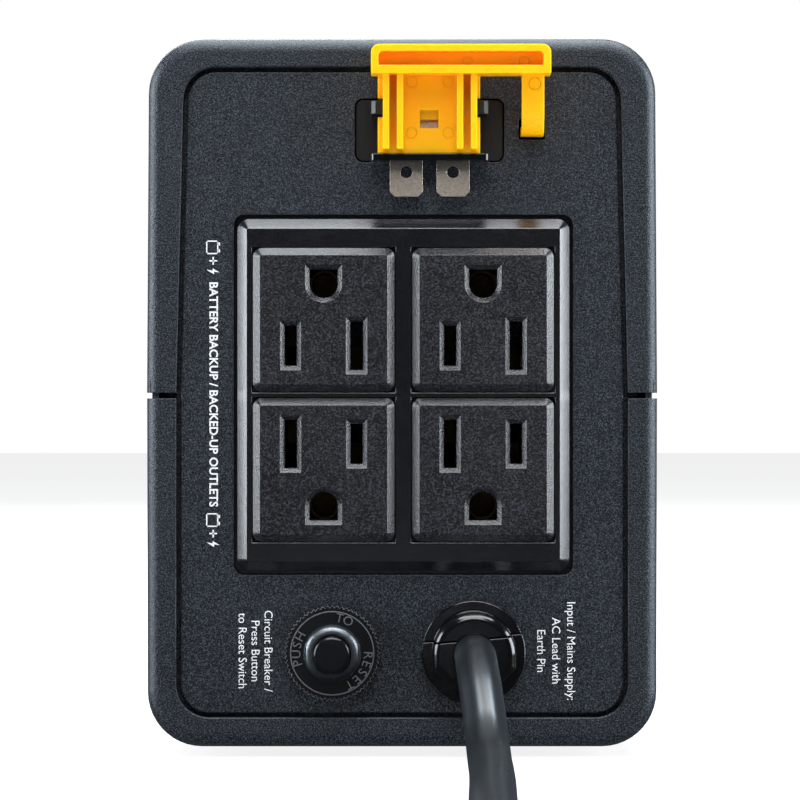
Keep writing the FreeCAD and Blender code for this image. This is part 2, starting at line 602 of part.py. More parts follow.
def battery_plug_handle():
    """The yellow pull handle: hollow top bar, ribbed body with a window, and a hooked strap."""
    part = Moulding("battery_plug_handle")
    x, left, right = "(-socket_across+0.15)", "(-socket_across-9.65)", "(-socket_across+9.95)"
    bar_left, bar_right = "(-handle_across-handle_wide/2)", "(-handle_across+handle_wide/2)"
    part.pad("Y", *HANDLE["bar"], rectangle(bar_left, bar_right, "handle_low", "handle_low+handle_tall"))
    roof = value("handle_low+handle_tall-0.1")
    part.fillet(1.6, lambda edge: runs(edge, "Y") and middle(edge).z > roof)
    part.pad("Y", *HANDLE["plate"], rectangle(left, right, 116.4, "handle_low+0.2"))
    # Two pairs of ribs that stand out from the body.
    part.pad("Y", f"{HANDLE['plate'][1]}-0.1", HANDLE["rib"], *[
        rectangle(f"{x}+{low}", f"{x}+{low}+1.2", 117, "handle_low+0.2")
        for low in (-9.15, -6.5, 4.95, 7.6)])
    # The hooked strap on the right.
    part.pad("X", -27.2, -22.9, polygon(
        (f"{PANEL}-3.4", 120), (f"{PANEL}+7.6", 120), (f"{PANEL}+7.6", "handle_low+0.2"),
        (f"{PANEL}+6", "handle_low+0.2"), (f"{PANEL}+6", 121.6), (f"{PANEL}-3.4", 121.6)))
    strap_low = value(f"{PANEL}+7.5")
    part.fillet(4.4, lambda edge: runs(edge, "X") and middle(edge).x < -22 and middle(edge).z < 120.1
                and middle(edge).y > strap_low)
    part.pocket("Y", f"{RIM}+plug_stand-4.5", f"{RIM}+plug_stand+1", rectangle(
        f"{bar_left}+1.4", f"{bar_right}-1.4", "handle_low+1.5", "handle_low+handle_tall-1.3"))
    ceiling = value("handle_low+handle_tall-1.3")
    part.fillet(0.9, lambda edge: runs(edge, "Y") and abs(middle(edge).z - ceiling) < 0.1)
    # The window, open only in its lower half, and notches that clear the socket's claws.
    part.pocket("Y", f"{PANEL}+4.6", f"{PANEL}+8", rectangle(f"{x}-1.8", f"{x}+1.7", 122.8, 124.7))
    part.pocket("Y", f"{PANEL}+3", f"{PANEL}+8", rectangle(f"{x}-1.8", f"{x}+1.7", 121.2, 122.9),
                rectangle(f"{left}-1", f"{left}+1.1", 123.3, 126.9),
                rectangle(f"{right}-1.1", f"{right}+1", 123.3, 126.9))


def battery_plug_carrier():
    """The black strip that holds the metal bridge against the back of the handle."""
    part = Moulding("battery_plug_carrier")
    x = "-socket_across"
    part.pad("Y", f"{PANEL}+1", f"{PANEL}+2.9", rectangle(f"{x}-8.7", f"{x}+8.7", 115, 127))
    part.pad("Y", f"{PANEL}+1", f"{PANEL}+7", rectangle(f"{x}-11.3", f"{x}+11.3", 115, 116.3))
    front = f"{PANEL}+7"
    part.fillet(0.9, lambda edge: runs(edge, "Z") and lies_at(edge, "Y", front))
    part.pocket("Y", f"{PANEL}+2.9", f"{PANEL}+3.95", *[rectangle(
        f"{x}+{side}*tab_pitch/2-tab_wide/2-0.1", f"{x}+{side}*tab_pitch/2+tab_wide/2+0.1", 114, 117)
        for side in (-1, 1)])


def battery_plug_bridge():
    """Two blades and their crossbar, stamped from one strip."""
    part = Moulding("battery_plug_bridge")
    x, half = "-socket_across", "tab_pitch/2"
    outer, inner = f"({half}+tab_wide/2)", f"({half}-tab_wide/2)"
    near = f"({PANEL}+3.05)"
    part.pad("Y", near, f"{near}+tab_thick", polygon(
        (f"{x}-{outer}", "tab_low"), (f"{x}-{inner}", "tab_low"), (f"{x}-{inner}", 117.6),
        (f"{x}+{inner}", 117.6), (f"{x}+{inner}", "tab_low"), (f"{x}+{outer}", "tab_low"),
        (f"{x}+{outer}", 122.9), (f"{x}-{outer}", 122.9)))
    low = value("tab_low+0.1")
    part.chamfer(0.9, lambda edge: runs(edge, "Y") and middle(edge).z < low)
    part.pocket("Y", f"{near}-1", f"{near}+2", *mirrored(
        lambda sign: circle(f"{x}+{sign}*{half}", "tab_low+4.7", 1.15)))


SOCKET_SLOTS = [(f"(-socket_across+{side}*tab_pitch/2)") for side in (-1, 1)]


def battery_socket():
    """The black socket: a housing behind the panel, a slot for each blade and two claws."""
    part = Moulding("battery_socket")
    x, z = "-socket_across", "socket_height"
    part.pad("Y", f"{PANEL}-22", f"{PANEL}-0.4", rectangle(
        f"{x}-socket_wide/2", f"{x}+socket_wide/2", f"{z}-socket_tall/2", f"{z}+socket_tall/2"))
    part.fillet(1.3, lambda edge: runs(edge, "Y"))
    part.pad("Y", f"{BEHIND_PANEL}-2", f"{BEHIND_PANEL}-{CLEAR}", rectangle(
        f"{x}-socket_wide/2-2", f"{x}+socket_wide/2+2", f"{z}-socket_tall/2-1.8", f"{z}+socket_tall/2+1.8"))
    part.pocket("Y", f"{PANEL}-23", f"{PANEL}", *[
        rectangle(f"{across}-3.7", f"{across}+3.7", f"{z}-0.75", f"{z}+0.75") for across in SOCKET_SLOTS])
    part.pocket("Y", f"{PANEL}-23", f"{PANEL}-6", *[
        rectangle(f"{across}-3.9", f"{across}+3.9", f"{z}-2", f"{z}+2") for across in SOCKET_SLOTS])
    claws = [rectangle("3.8", "5.9", 123.9, 126.4), rectangle("-16.5", "-14.4", 123.9, 126.4)]
    part.pad("Y", f"{PANEL}-1", f"{PANEL}+7.2", *claws)
    part.chamfer(0.8, lambda edge: lies_at(edge, "Y", f"{PANEL}+7.2") and runs(edge, "Z")
                 and (middle(edge).x > 5.8 or middle(edge).x < -16.4))


def battery_socket_contacts():
    """Two folded receptacles that take the plug's blades."""
    pieces = []
    for i, across in enumerate(SOCKET_SLOTS):
        for side in (-1, 1):
            height = f"(socket_height+{side}*1.1)"
            pieces.append(box(f"receptacle_leaf_{i}_{side + 1}", (f"{across}-3.5", f"{across}+3.5"),
                              (f"{PANEL}-22.5", f"{PANEL}-8"), (f"{height}-0.3", f"{height}+0.3")))
        pieces.append(box(f"receptacle_back_{i}", (f"{across}-3.5", f"{across}+3.5"),
                          (f"{PANEL}-23.2", f"{PANEL}-22.4"), ("socket_height-1.4", "socket_height+1.4")))
        pieces.append(box(f"receptacle_tail_{i}", (f"{across}-1.5", f"{across}+1.5"),
                          (f"{PANEL}-29", f"{PANEL}-23"), ("socket_height-0.4", "socket_height+0.4")))
    fuse("battery_socket_contacts", pieces)


# ---------------------------------------------------------------- circuit breaker
def breaker_nut():
    """A round nut with fine teeth around it, its outline worked out from the tooth count."""
    teeth, depth = 60, 0.45
    radius, thick = value("nut_radius"), value("nut_thick")
    centre = Vector(value("breaker_across"), value(f"{PANEL}+0.05"), value("breaker_height"))
    points = []
    for i in range(2 * teeth):
        angle = math.pi * i / teeth
        reach = radius - (i % 2) * depth
        points.append(centre + Vector(reach * math.cos(angle), 0, reach * math.sin(angle)))
    outline = Part.makePolygon(points + points[:1])
    disc = Part.Face(outline).extrude(ALONG["Y"] * thick)
    bevel = Part.makeCone(radius + 4, radius - 1, 5, centre, ALONG["Y"])
    hole = Part.makeCylinder(value("bushing_radius+0.08"), thick + 2, centre - ALONG["Y"], ALONG["Y"])
    shaped("breaker_nut", disc.common(bevel).cut(hole))


def breaker():
    x, z = "breaker_across", "breaker_height"
    body = box("breaker_case", (f"{x}-7", f"{x}+7"), (f"{BEHIND_PANEL}-22", f"{BEHIND_PANEL}-{CLEAR}"),
               (f"{z}-9", f"{z}+12.5"))
    cut("breaker_body", body, [
        rod("breaker_well", "Y", (x, z), f"{BEHIND_PANEL}-13", f"{BEHIND_PANEL}+1", "bushing_radius+0.05")])
    barrel = rod("bushing_barrel", "Y", (x, z), f"{BEHIND_PANEL}-6", f"{PANEL}+6.4", "bushing_radius")
    nose = f"{PANEL}+6.4"
    doc.recompute()
    rounded = doc.addObject("Part::Fillet", "bushing_round")
    rounded.Base = barrel
    rounded.Edges = [(i, 1.2, 1.2) for i, edge in enumerate(barrel.Shape.Edges, 1) if lies_at(edge, "Y", nose)]
    flats = [box(f"bushing_flat_{side + 1}", sorted((f"{x}+{side}*4.95", f"{x}+{side}*8"), key=value),
                 (f"{PANEL}+3.2", f"{PANEL}+8"), (f"{z}-8", f"{z}+8")) for side in (-1, 1)]
    bore = rod("bushing_bore", "Y", (x, z), f"{BEHIND_PANEL}-7", f"{PANEL}+8", "button_radius+0.2")
    lip = rod("bushing_lip", "Y", (x, z), f"{nose}-0.3", f"{PANEL}+8", "button_radius+0.5")
    cut("breaker_bushing", rounded, flats + [bore, lip])
    head = rod("button_head", "Y", (x, z), f"{PANEL}-4", f"{PANEL}+button_stand", "button_radius")
    stem = rod("button_stem", "Y", (x, z), f"{PANEL}-9", f"{PANEL}-3.9", 1.5)
    button = fuse("button_blank", [head, stem])
    doc.recompute()
    crown = doc.addObject("Part::Fillet", "reset_button")
    crown.Base = button
    top = f"{PANEL}+button_stand"
    crown.Edges = [(i, 0.6, 0.6) for i, edge in enumerate(button.Shape.Edges, 1)
                   if lies_at(edge, "Y", top)]
    group("breaker_terminals", [box(f"terminal_{side + 1}", (f"{x}-3.15", f"{x}+3.15"),
                                    (f"{BEHIND_PANEL}-30", f"{BEHIND_PANEL}-22.02"),
                                    (f"{z}+{side}*8-0.4", f"{z}+{side}*8+0.4")) for side in (-1, 1)])


def spring(name, centre, start, stop, radius, wire, turns):
    """A coil spring along Y, from its place, radius, wire radius and turns."""
    length = stop - start - 2 * wire
    helix = Part.makeHelix(length / turns, length, radius)
    ring = Part.Wire(Part.makeCircle(wire, Vector(radius, 0, 0), ALONG["Y"]))
    coil = Part.Wire(helix).makePipeShell([ring], True, True)
    place = Vector(centre[0], start + wire, centre[1])
    return shaped(name, coil, FreeCAD.Placement(place, FreeCAD.Rotation(ALONG["X"], -90)))


# ---------------------------------------------------------------- cord grip, cord and plug
def cord_grips():
    """A two-part strain relief, split level, around the cord."""
    x, z = "-grip_across", "grip_height"
    for name, side in (("cord_grip_upper", 1), ("cord_grip_lower", -1)):
        part = Moulding(name)
        part.pad("Y", f"{PANEL}+0.05", f"{PANEL}+2.2", circle(x, z, "flange_radius"))
        part.fillet(0.2, lambda edge: lies_at(edge, "Y", f"{PANEL}+2.2"))
        part.pad("Y", f"{PANEL}+2.1", f"{PANEL}+nose_stand", dome(
            x, z, "nose_radius", 1, ("-nose_radius", -2.6), ("-nose_radius+3.2", -6),
            ("nose_radius-3.2", -6), ("nose_radius", -2.6)))
        part.fillet(1.5, lambda edge: lies_at(edge, "Y", f"{PANEL}+nose_stand"))
        part.pad("Y", f"{BEHIND_PANEL}-0.35", f"{PANEL}+0.1", circle(x, z, "nose_radius-0.8"))
        part.pad("Y", f"{BEHIND_PANEL}-9", f"{BEHIND_PANEL}-0.3", circle(x, z, "nose_radius+0.3"))
        part.pocket("Y", f"{BEHIND_PANEL}-10", f"{PANEL}+12", circle(x, z, "cord_radius+0.1"))
        # The two halves part above the cord, on a slightly slanting line.
        near, far = f"{z}+2.9+{side}*0.15", f"{z}-{side}*20"
        part.pocket("Y", f"{BEHIND_PANEL}-10", f"{PANEL}+12", polygon(
            (f"{x}-20", f"{near}+1.8"), (f"{x}+20", f"{near}-1.8"), (f"{x}+20", far), (f"{x}-20", far)))


def arc_route(points):
    """A wire of straight runs joined by tangent arcs, and its smallest arc radius."""
    runs_between = [b - a for a, b in zip(points, points[1:])]
    edges, at, radii = [], points[0], []
    for corner, before, after in zip(points[1:], runs_between, runs_between[1:]):
        turn = before.getAngle(after)
        cutback = 0.45 * min(before.Length, after.Length)
        radii.append(cutback / math.tan(turn / 2))
        start = corner - before.normalize() * cutback
        stop = corner + Vector(after).normalize() * cutback
        bisector = ((start + stop) * 0.5 - corner).normalize()
        reach = radii[-1] / math.cos(turn / 2) - radii[-1]
        edges += [Part.LineSegment(at, start).toShape(), Part.Arc(start, corner + bisector * reach, stop).toShape()]
        at = stop
    edges.append(Part.LineSegment(at, points[-1]).toShape())
    return Part.Wire(edges), radii


def tube(name, points, radius):
    """A round tube along a route; its volume is compared with its section times its length."""
    points = [Vector(*point) for point in points]
    wire, radii = arc_route(points)
    start = points[1] - points[0]
    ring = Part.Wire(Part.makeCircle(radius, points[0], start))
    solid = wire.makePipeShell([ring], True, False)
    wanted = math.pi * radius ** 2 * wire.Length
    if abs(solid.Volume / wanted - 1) > 0.01:
        raise RuntimeError(f"{name}: volume {solid.Volume:.0f}, expected {wanted:.0f}")
    print(f"{name}: length {wire.Length:.1f}, radii {[round(r) for r in radii]}")
    return shaped(name, solid)


# The cord's route: out of the grip, down onto the surface that the object stands on, and straight back.
CORD_ROUTE = [
    (-13.8, 119.1, 20.4), (-13.85, 131.5, 20.42), (-13.8, 143, 20.4), (-13.85, 152.5, 20.38),
    (-13.95, 161.2, 19.5), (-14.35, 168.9, 16.7), (-14.9, 175.9, 12.2), (-15.35, 182.8, 7.7),
    (-15.6, 190.5, 4.95), (-15.65, 199, 4.05), (-15.6, 209, 4.02), (-15.4, 222, 4), (-14.9, 243, 4.02),
    (-14.4, 267, 4), (-14.5, 291, 4.02), (-18.2, 314, 4), (-25, 337, 4.02), (-31.9, 359, 4),
    (-37.2, 381, 4.02), (-40, 405, 4)]
END_ROUTE = [(-32, 454, 12), (-31.9, 462, 12.04), (-31.7, 470, 12), (-31.6, 478, 12)]


def cord():
    radius = value("cord_radius")
    tube("mains_cord", CORD_ROUTE, radius)
    tube("mains_cord_end", END_ROUTE, radius)
    x, y, high = "coil_across", "coil_middle", "4*cord_radius+0.2"
    cut("mains_cord_coil", rod("coil_disc", "Z", (x, y), 0, high, "coil_outer"),
        [rod("coil_hole", "Z", (x, y), -1, "5*cord_radius", "coil_inner")])
    band = box("tie_band", (f"{x}+coil_inner-1.2", f"{x}+coil_outer+1.2"), (f"{y}-3", f"{y}+3"),
               (0.02, f"{high}+1.2"))
    cut("cord_tie", band, [rod("tie_gap_outer", "Z", (x, y), -1, high, "coil_outer+0.05")])


def mains_plug():
    part = Moulding("mains_plug")
    x, y = -31.6, 478
    part.pad("Y", y, y + 12, circle(x, 12, 6.6))
    part.pad("Y", y + 10, y + 34, rectangle(x - 13, x + 13, 0.4, 24))
    part.fillet(5, lambda edge: runs(edge, "Y"))
    part.fillet(2, lambda edge: lies_at(edge, "Y", y + 10) and middle(edge).z > 0
                and abs(middle(edge).x - x) > 7)
    part.pad("Y", y + 33, y + 36, rectangle(x - 14, x + 14, 0.2, 24.2))
    face = y + 36
    blades = [box(f"plug_blade_{side + 1}", (x + side * 6.35 - 0.75, x + side * 6.35 + 0.75),
                  (face + 0.01, face + 16), (12.4, 18.8)) for side in (-1, 1)]
    group("mains_plug_pins", blades + [rod("plug_ground", "Y", (x, 5.2), face + 0.01, face + 19, 2.35)])


# ---------------------------------------------------------------- battery
def battery():
    x, left, right = "-battery_across", "-battery_across-battery_wide/2", "-battery_across+battery_wide/2"
    back, ahead = "battery_back", "(battery_back-battery_long)"
    base, lid = "battery_low", "(battery_low+battery_tall-14)"
    block = Moulding("battery_case")
    block.pad("Z", base, lid, rectangle(left, right, ahead, back))
    block.fillet(2, lambda edge: runs(edge, "Z"))
    cover = Moulding("battery_lid")
    cover.pad("Z", lid, "battery_low+battery_tall", rectangle(left, right, ahead, back))
    cover.fillet(2, lambda edge: runs(edge, "Z"))
    cover.fillet(1, lambda edge: lies_at(edge, "Z", "battery_low+battery_tall"))
    cover.pocket("Z", "battery_low+battery_tall-5", "battery_low+battery_tall+1", rectangle(
        f"{left}+4", f"{right}-4", f"{ahead}+3", f"{ahead}+17"))
    top = "(battery_low+battery_tall)"
    tabs = []
    for side in (-1, 1):
        across = f"({x}+{side}*22)"
        upright = box(f"terminal_blade_{side + 1}", (f"{across}-3.15", f"{across}+3.15"),
                      (f"{ahead}+9", f"{ahead}+9.8"), (f"{top}-4.98", f"{top}+3"))
        foot = box(f"terminal_foot_{side + 1}", (f"{across}-4", f"{across}+4"), (f"{ahead}+5", f"{ahead}+9.1"),
                   (f"{top}-4.98", f"{top}-4.1"))
        tabs.append(fuse(f"terminal_tab_{side + 1}", [upright, foot]))
    group("battery_terminals", tabs)
    pads = [box(f"lower_pad_{i}", (f"{left}+6", f"{right}-4"), (low, low + 20),
                ("foot_high+wall+0.02", f"{base}-0.02")) for i, low in enumerate((-105, -5))]
    pads.append(box("upper_pad", (f"{left}+10", f"{right}-10"), (-85, -13), (f"{top}+0.02", f"{top}+2.55")))
    group("battery_pads", pads)


# ---------------------------------------------------------------- transformer
def transformer():
    x, y, low = "-core_across", "core_middle", "core_low"
    leg = "core_wide/6"
    near, far = f"({y}-core_stack/2)", f"({y}+core_stack/2)"
    core = Moulding("transformer_core")
    core.pad("Y", near, far, rectangle(f"{x}-core_wide/2", f"{x}+core_wide/2", low, f"{low}+core_tall"))
    core.pocket("Y", f"{near}-1", f"{far}+1", *mirrored(lambda sign: rectangle(
        f"{x}+{sign}*{leg}*1.5-{leg}/2", f"{x}+{sign}*{leg}*1.5+{leg}/2",
        f"{low}+{leg}", f"{low}+core_tall-{leg}")))

    def ring(name, inner, outer, low_z, high_z):
        """A rectangular tube around the middle leg, from its distances off the leg."""
        def block(suffix, off, over):
            return box(f"{name}_{suffix}", (f"{x}-{leg}-{off}", f"{x}+{leg}+{off}"),
                       (f"{near}-{off}", f"{far}+{off}"), (f"{low_z}-{over}", f"{high_z}+{over}"))
        return cut(name, block("outer", outer, 0), [block("inner", inner, 1)])

    window_low, window_high = f"({low}+{leg}+0.2)", f"({low}+core_tall-{leg}-0.2)"
    wall = ring("bobbin_tube", 0.2, 1.3, window_low, window_high)
    lower = ring("bobbin_lower", 0.2, 10.4, window_low, f"{window_low}+1.4")
    upper = ring("bobbin_upper", 0.2, 10.4, f"{window_high}-1.4", window_high)
    fuse("transformer_bobbin", [wall, lower, upper])
    ring("primary_winding", 1.4, 5.4, f"{window_low}+1.5", f"{window_high}-1.5")
    ring("secondary_winding", 5.5, 9.8, f"{window_low}+1.5", f"{window_high}-1.5")
    side, roof, foot = "(core_wide/2+0.1)", f"({low}+core_tall+0.1)", f"({low}-0.4)"
    strap = Moulding("transformer_strap")
    strap.pad("Y", f"{y}-14", f"{y}+14", polygon(
        (f"{x}-{side}-7", foot), (f"{x}-{side}", foot), (f"{x}-{side}", roof), (f"{x}+{side}", roof),
        (f"{x}+{side}", foot), (f"{x}+{side}+7", foot), (f"{x}+{side}+7", f"{foot}+1.2"),
        (f"{x}+{side}+1.2", f"{foot}+1.2"), (f"{x}+{side}+1.2", f"{roof}+1.2"),
        (f"{x}-{side}-1.2", f"{roof}+1.2"), (f"{x}-{side}-1.2", f"{foot}+1.2"),
        (f"{x}-{side}-7", f"{foot}+1.2")))
    strap.pocket("Z", f"{foot}-1", f"{foot}+3", *mirrored(
        lambda sign: circle(f"{x}+{sign}*(core_wide/2+4.4)", y, 1.7)))
    screws = []
    for side_sign in (-1, 1):
        across = f"({x}+{side_sign}*(core_wide/2+4.4))"
        head = rod(f"strap_screw_head_{side_sign + 1}", "Z", (across, y), f"{foot}+1.22", f"{foot}+3.2", 2.6)
        shank = rod(f"strap_screw_shank_{side_sign + 1}", "Z", (across, y), f"{foot}-0.08", f"{foot}+1.3", 1.5)
        screws.append(fuse(f"strap_screw_{side_sign + 1}", [head, shank]))
    return screws


# ---------------------------------------------------------------- main board
def on_board(name, y, z, stand):
    """A block on the component side of the main board."""
    return box(name, (f"board_across-0.02-{stand}", "board_across-0.02"), y, z)


def main_board():
    box("main_board", ("board_across", "board_across+board_thick"), ("-board_front", "board_rear"),
        ("board_low", "board_top"))
    fins = [box(f"sink_fin_{i}", (20, "board_across-0.2"), (low, low + 1.6), (114.4, 122))
            for i, low in enumerate((-54, -48, -42, -36, -30, -24, -18, -12))]
    fuse("heat_sink", [box("sink_plate", (20, "board_across-0.02"), (-54, -10.4), (112, 114.5))] + fins)
    group("power_transistors", [fuse(f"transistor_{i}", [
        box(f"transistor_body_{i}", (23, 32.5), (low, low + 10), (107.2, 111.95)),
        box(f"transistor_legs_{i}", (32.4, "board_across-0.02"), (low + 2.5, low + 7.5), (108.6, 109.2))])
        for i, low in enumerate((-53.5, -42.5, -31.5, -20.5))])
    group("relays", [on_board(f"relay_{i}", (low, low + 19), (84, 99.5), 15.3)
                     for i, low in enumerate((8, 30, 52))])
    cans = [("board_across-24", 20, 112, 6.5), ("board_across-20", 36, 112, 6), ("board_across-16", -70, 60, 5),
            ("board_across-16", -84, 60, 5), ("board_across-13", -98, 40, 4)]
    group("capacitors", [rod(f"capacitor_{i}", "X", (y, z), reach, "board_across-0.02", radius)
                         for i, (reach, y, z, radius) in enumerate(cans)])
    group("controller_chips", [on_board(f"chip_{i}", (y, y + long), (z, z + wide), 3.4)
                               for i, (y, long, z, wide) in enumerate(
                                   ((-60, 26, 74, 8), (-22, 12, 70, 7), (-50, 11, 48, 7), (0, 11, 50, 7)))])
    on_board("board_fuse", (-112, -93), (108, 114), 16)
    rod("buzzer", "X", (-104, 84), "board_across-8.5", "board_across-0.02", 6)


# ---------------------------------------------------------------- front controls
def front_controls():
    face, z = f"{FRONT}+0.5", "button_height"
    cap = Moulding("power_button")
    cap.pad("Y", face, f"{FRONT}+4.2", circle(0, z, "power_radius"))
    cap.fillet(0.7, lambda edge: lies_at(edge, "Y", face))
    cap.pad("Y", f"{FRONT}+3.2", f"{FRONT}+4.2", circle(0, z, "power_radius+1.2"))
    cap.pad("Y", f"{FRONT}+4.1", f"{FRONT}+10", circle(0, z, 3))
    box("power_switch_plunger", (-1.6, 1.6), (f"{FRONT}+10.02", f"{FRONT}+15"), (f"{z}-1.6", f"{z}+1.6"))
    housing = box("switch_housing", (-5, 5), (f"{FRONT}+13", f"{FRONT}+19.95"), (f"{z}-5", f"{z}+5"))
    cut("power_switch_body", housing, [
        box("switch_well", (-1.75, 1.75), (f"{FRONT}+12", f"{FRONT}+17.5"), (f"{z}-1.75", f"{z}+1.75"))])
    spring("power_switch_spring", (0, value(z)), value(f"{FRONT}+4.25"), value(f"{FRONT}+12.95"), 4, 0.3, 5)
    board = box("front_board_blank", (-20, 20), (f"{FRONT}+20", f"{FRONT}+21.6"), (62, 122))
    cut("front_board", board, [rod(f"board_hole_{i}", "Y", (15 * side, 68), f"{FRONT}+19", f"{FRONT}+23", 1.2)
                               for i, side in enumerate((-1, 1))])
    screws = [fuse(f"board_screw_{i}", [
        rod(f"board_screw_head_{i}", "Y", (15 * side, 68), f"{FRONT}+21.62", f"{FRONT}+23", 2.2),
        rod(f"board_screw_shank_{i}", "Y", (15 * side, 68), f"{FRONT}+13", f"{FRONT}+21.7", 1)])
        for i, side in enumerate((-1, 1))]
    group("status_leds", [box(f"led_{i}", (-1.6, 1.6), (f"{FRONT}+18.6", f"{FRONT}+19.98"), (high - 1, high + 1))
                          for i, high in enumerate((78, 84, 90))])
    lens = [box("lens_plate", (-8, 8), (f"{FRONT}+2.9", f"{FRONT}+4.6"), (75, 93))]
    for i, high in enumerate((78, 84, 90)):
        lens.append(box(f"lens_window_{i}", (-5.9, 5.9), (f"{FRONT}+1", f"{FRONT}+3"), (high - 1.1, high + 1.1)))
        lens.append(rod(f"lens_rod_{i}", "Y", (0, high), f"{FRONT}+4.5", f"{FRONT}+18.3", 1.3))
    fuse("status_lens", lens)
    return screws


# ---------------------------------------------------------------- internal wiring
def leads():
    """Insulated leads that run from piece to piece inside the case."""
    positive = tube("positive_lead", [(12, -113, 104.5), (12.6, -110, 113), (14.6, -96, 120.5),
                                      (15.2, -60, 123), (14.6, -15, 124.4), (10, 30, 126), (0, 75, 126.5),
                                      (-9.8, 106, 121.2)], 1.6)
    negative = tube("negative_lead", [(-32, -113, 104.5), (-31.4, -110, 113), (-22, -100, 121), (-2, -95, 124),
                                      (16, -92, 125.5), (30, -90, 117), (38.8, -88, 104)], 1.6)
    switched = tube("switched_lead", [(-0.8, 106, 121.2), (2, 96, 124), (11, 84, 126.5), (24, 75, 125),
                                      (33, 70, 119), (38.8, 68, 108)], 1.6)
    group("battery_leads", [positive, negative, switched])


def build():
    top_cover()
    bottom_tray()
    rear_panel()
    front_bezel()
    case_screws()
    rubber_feet()
    outlet_bezel()
    for outlet in OUTLETS:
        outlet_face(*outlet)
    outlet_contact_carrier()
    outlet_contacts()
    battery_plug_handle()
    battery_plug_carrier()
    battery_plug_bridge()
    battery_socket()
    battery_socket_contacts()
    breaker_nut()
    breaker()
    spring("reset_spring", (value("breaker_across"), value("breaker_height")),
           value(f"{PANEL}-8.6"), value(f"{PANEL}-4.1"), 2.4, 0.3, 2.5)
    cord_grips()
    cord()
    mains_plug()
    battery()
    main_board()
    group("inner_screws", transformer() + front_controls())
    leads()


NODES = [
    "bottom_tray", "top_cover", "rear_panel", "front_bezel", "case_screws", "rubber_feet",
    "outlet_bezel", *[outlet[0] for outlet in OUTLETS], "outlet_contact_carrier",
    "line_contacts", "neutral_contacts", "ground_contacts",
    "battery_plug_handle", "battery_plug_carrier", "battery_plug_bridge", "battery_socket",
    "battery_socket_contacts", "breaker_nut", "breaker_body", "breaker_bushing", "reset_button",
    "reset_spring", "breaker_terminals", "cord_grip_upper", "cord_grip_lower", "mains_cord",
    "mains_cord_end", "mains_cord_coil", "cord_tie", "mains_plug", "mains_plug_pins",
    "battery_case", "battery_lid", "battery_terminals", "battery_pads",
    "transformer_core", "transformer_bobbin", "primary_winding", "secondary_winding",
    "transformer_strap", "inner_screws", "main_board", "heat_sink", "power_transistors", "relays",
    "capacitors", "controller_chips", "board_fuse", "buzzer", "power_button", "power_switch_plunger",
    "power_switch_spring", "power_switch_body", "front_board", "status_leds", "status_lens",
    "battery_leads",
]


def sound(shape):
    return not shape.isNull() and shape.isValid() and bool(shape.Solids)


def check():
    """Stop where a feature failed, a pocket cut nothing, or a sub-part isn't a valid shape."""
    doc.recompute()
    for thing in doc.Objects:
        if "Invalid" in thing.State or "Error" in thing.State:
            raise RuntimeError(f"{thing.Name}: {thing.State}")
        if thing.TypeId == "PartDesign::Pocket":
            if thing.Shape.Volume > thing.BaseFeature.Shape.Volume - 0.01:
                raise RuntimeError(f"{thing.Name} cuts nothing")
    wrong = [name for name in NODES if not sound(doc.getObject(name).Shape)]
    if wrong:
        raise RuntimeError("no valid solid in " + ", ".join(wrong))


def write():
    os.makedirs("parts", exist_ok=True)
    for name in NODES:
        doc.getObject(name).Shape.exportStep(f"parts/{name}.step")


build()
check()
write()
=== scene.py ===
"""Looks of the uninterruptible power supply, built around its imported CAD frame."""

import json
import math

import bmesh
import bpy
from mathutils import Matrix, Vector


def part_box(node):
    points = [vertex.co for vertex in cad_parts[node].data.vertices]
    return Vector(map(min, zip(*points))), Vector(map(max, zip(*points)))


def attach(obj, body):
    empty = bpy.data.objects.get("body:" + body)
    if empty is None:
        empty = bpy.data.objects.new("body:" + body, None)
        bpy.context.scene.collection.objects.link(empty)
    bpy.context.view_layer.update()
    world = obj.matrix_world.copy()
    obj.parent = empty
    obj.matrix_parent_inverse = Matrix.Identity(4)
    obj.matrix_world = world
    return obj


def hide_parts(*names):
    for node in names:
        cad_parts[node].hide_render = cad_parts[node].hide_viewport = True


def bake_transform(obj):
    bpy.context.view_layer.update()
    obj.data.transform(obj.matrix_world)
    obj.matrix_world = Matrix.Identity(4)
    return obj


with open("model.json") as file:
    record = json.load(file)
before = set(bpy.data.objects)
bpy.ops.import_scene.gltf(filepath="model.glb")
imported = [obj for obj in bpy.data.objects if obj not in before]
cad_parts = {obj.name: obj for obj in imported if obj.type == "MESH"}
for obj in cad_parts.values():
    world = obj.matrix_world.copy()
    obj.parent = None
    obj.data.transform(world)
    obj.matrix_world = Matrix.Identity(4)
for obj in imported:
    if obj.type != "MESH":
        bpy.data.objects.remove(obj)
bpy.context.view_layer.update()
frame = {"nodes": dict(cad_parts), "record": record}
nodes = frame["nodes"]
scene = bpy.context.scene
MM = 0.001

# ---------------------------------------------------------------- places read from the frame
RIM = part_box("top_cover")[1][1]
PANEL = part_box("rear_panel")[1][1]
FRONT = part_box("front_bezel")[0][1]


def middle(node):
    low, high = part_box(node)
    return (Vector(low) + Vector(high)) / 2


# ---------------------------------------------------------------- ways to make pieces
def add(name, data, body="case"):
    """A new piece that rides on a body."""
    piece = bpy.data.objects.new(name, data)
    scene.collection.objects.link(piece)
    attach(piece, body)
    return piece


def mesh_of(name, build):
    """A mesh filled by build(bm)."""
    data, bm = bpy.data.meshes.new(name), bmesh.new()
    build(bm)
    bmesh.ops.recalc_face_normals(bm, faces=bm.faces)
    bm.to_mesh(data)
    bm.free()
    return data


def angles(sides):
    """The angles of a circle's points, in radians."""
    return [2 * math.pi * k / sides for k in range(sides)]


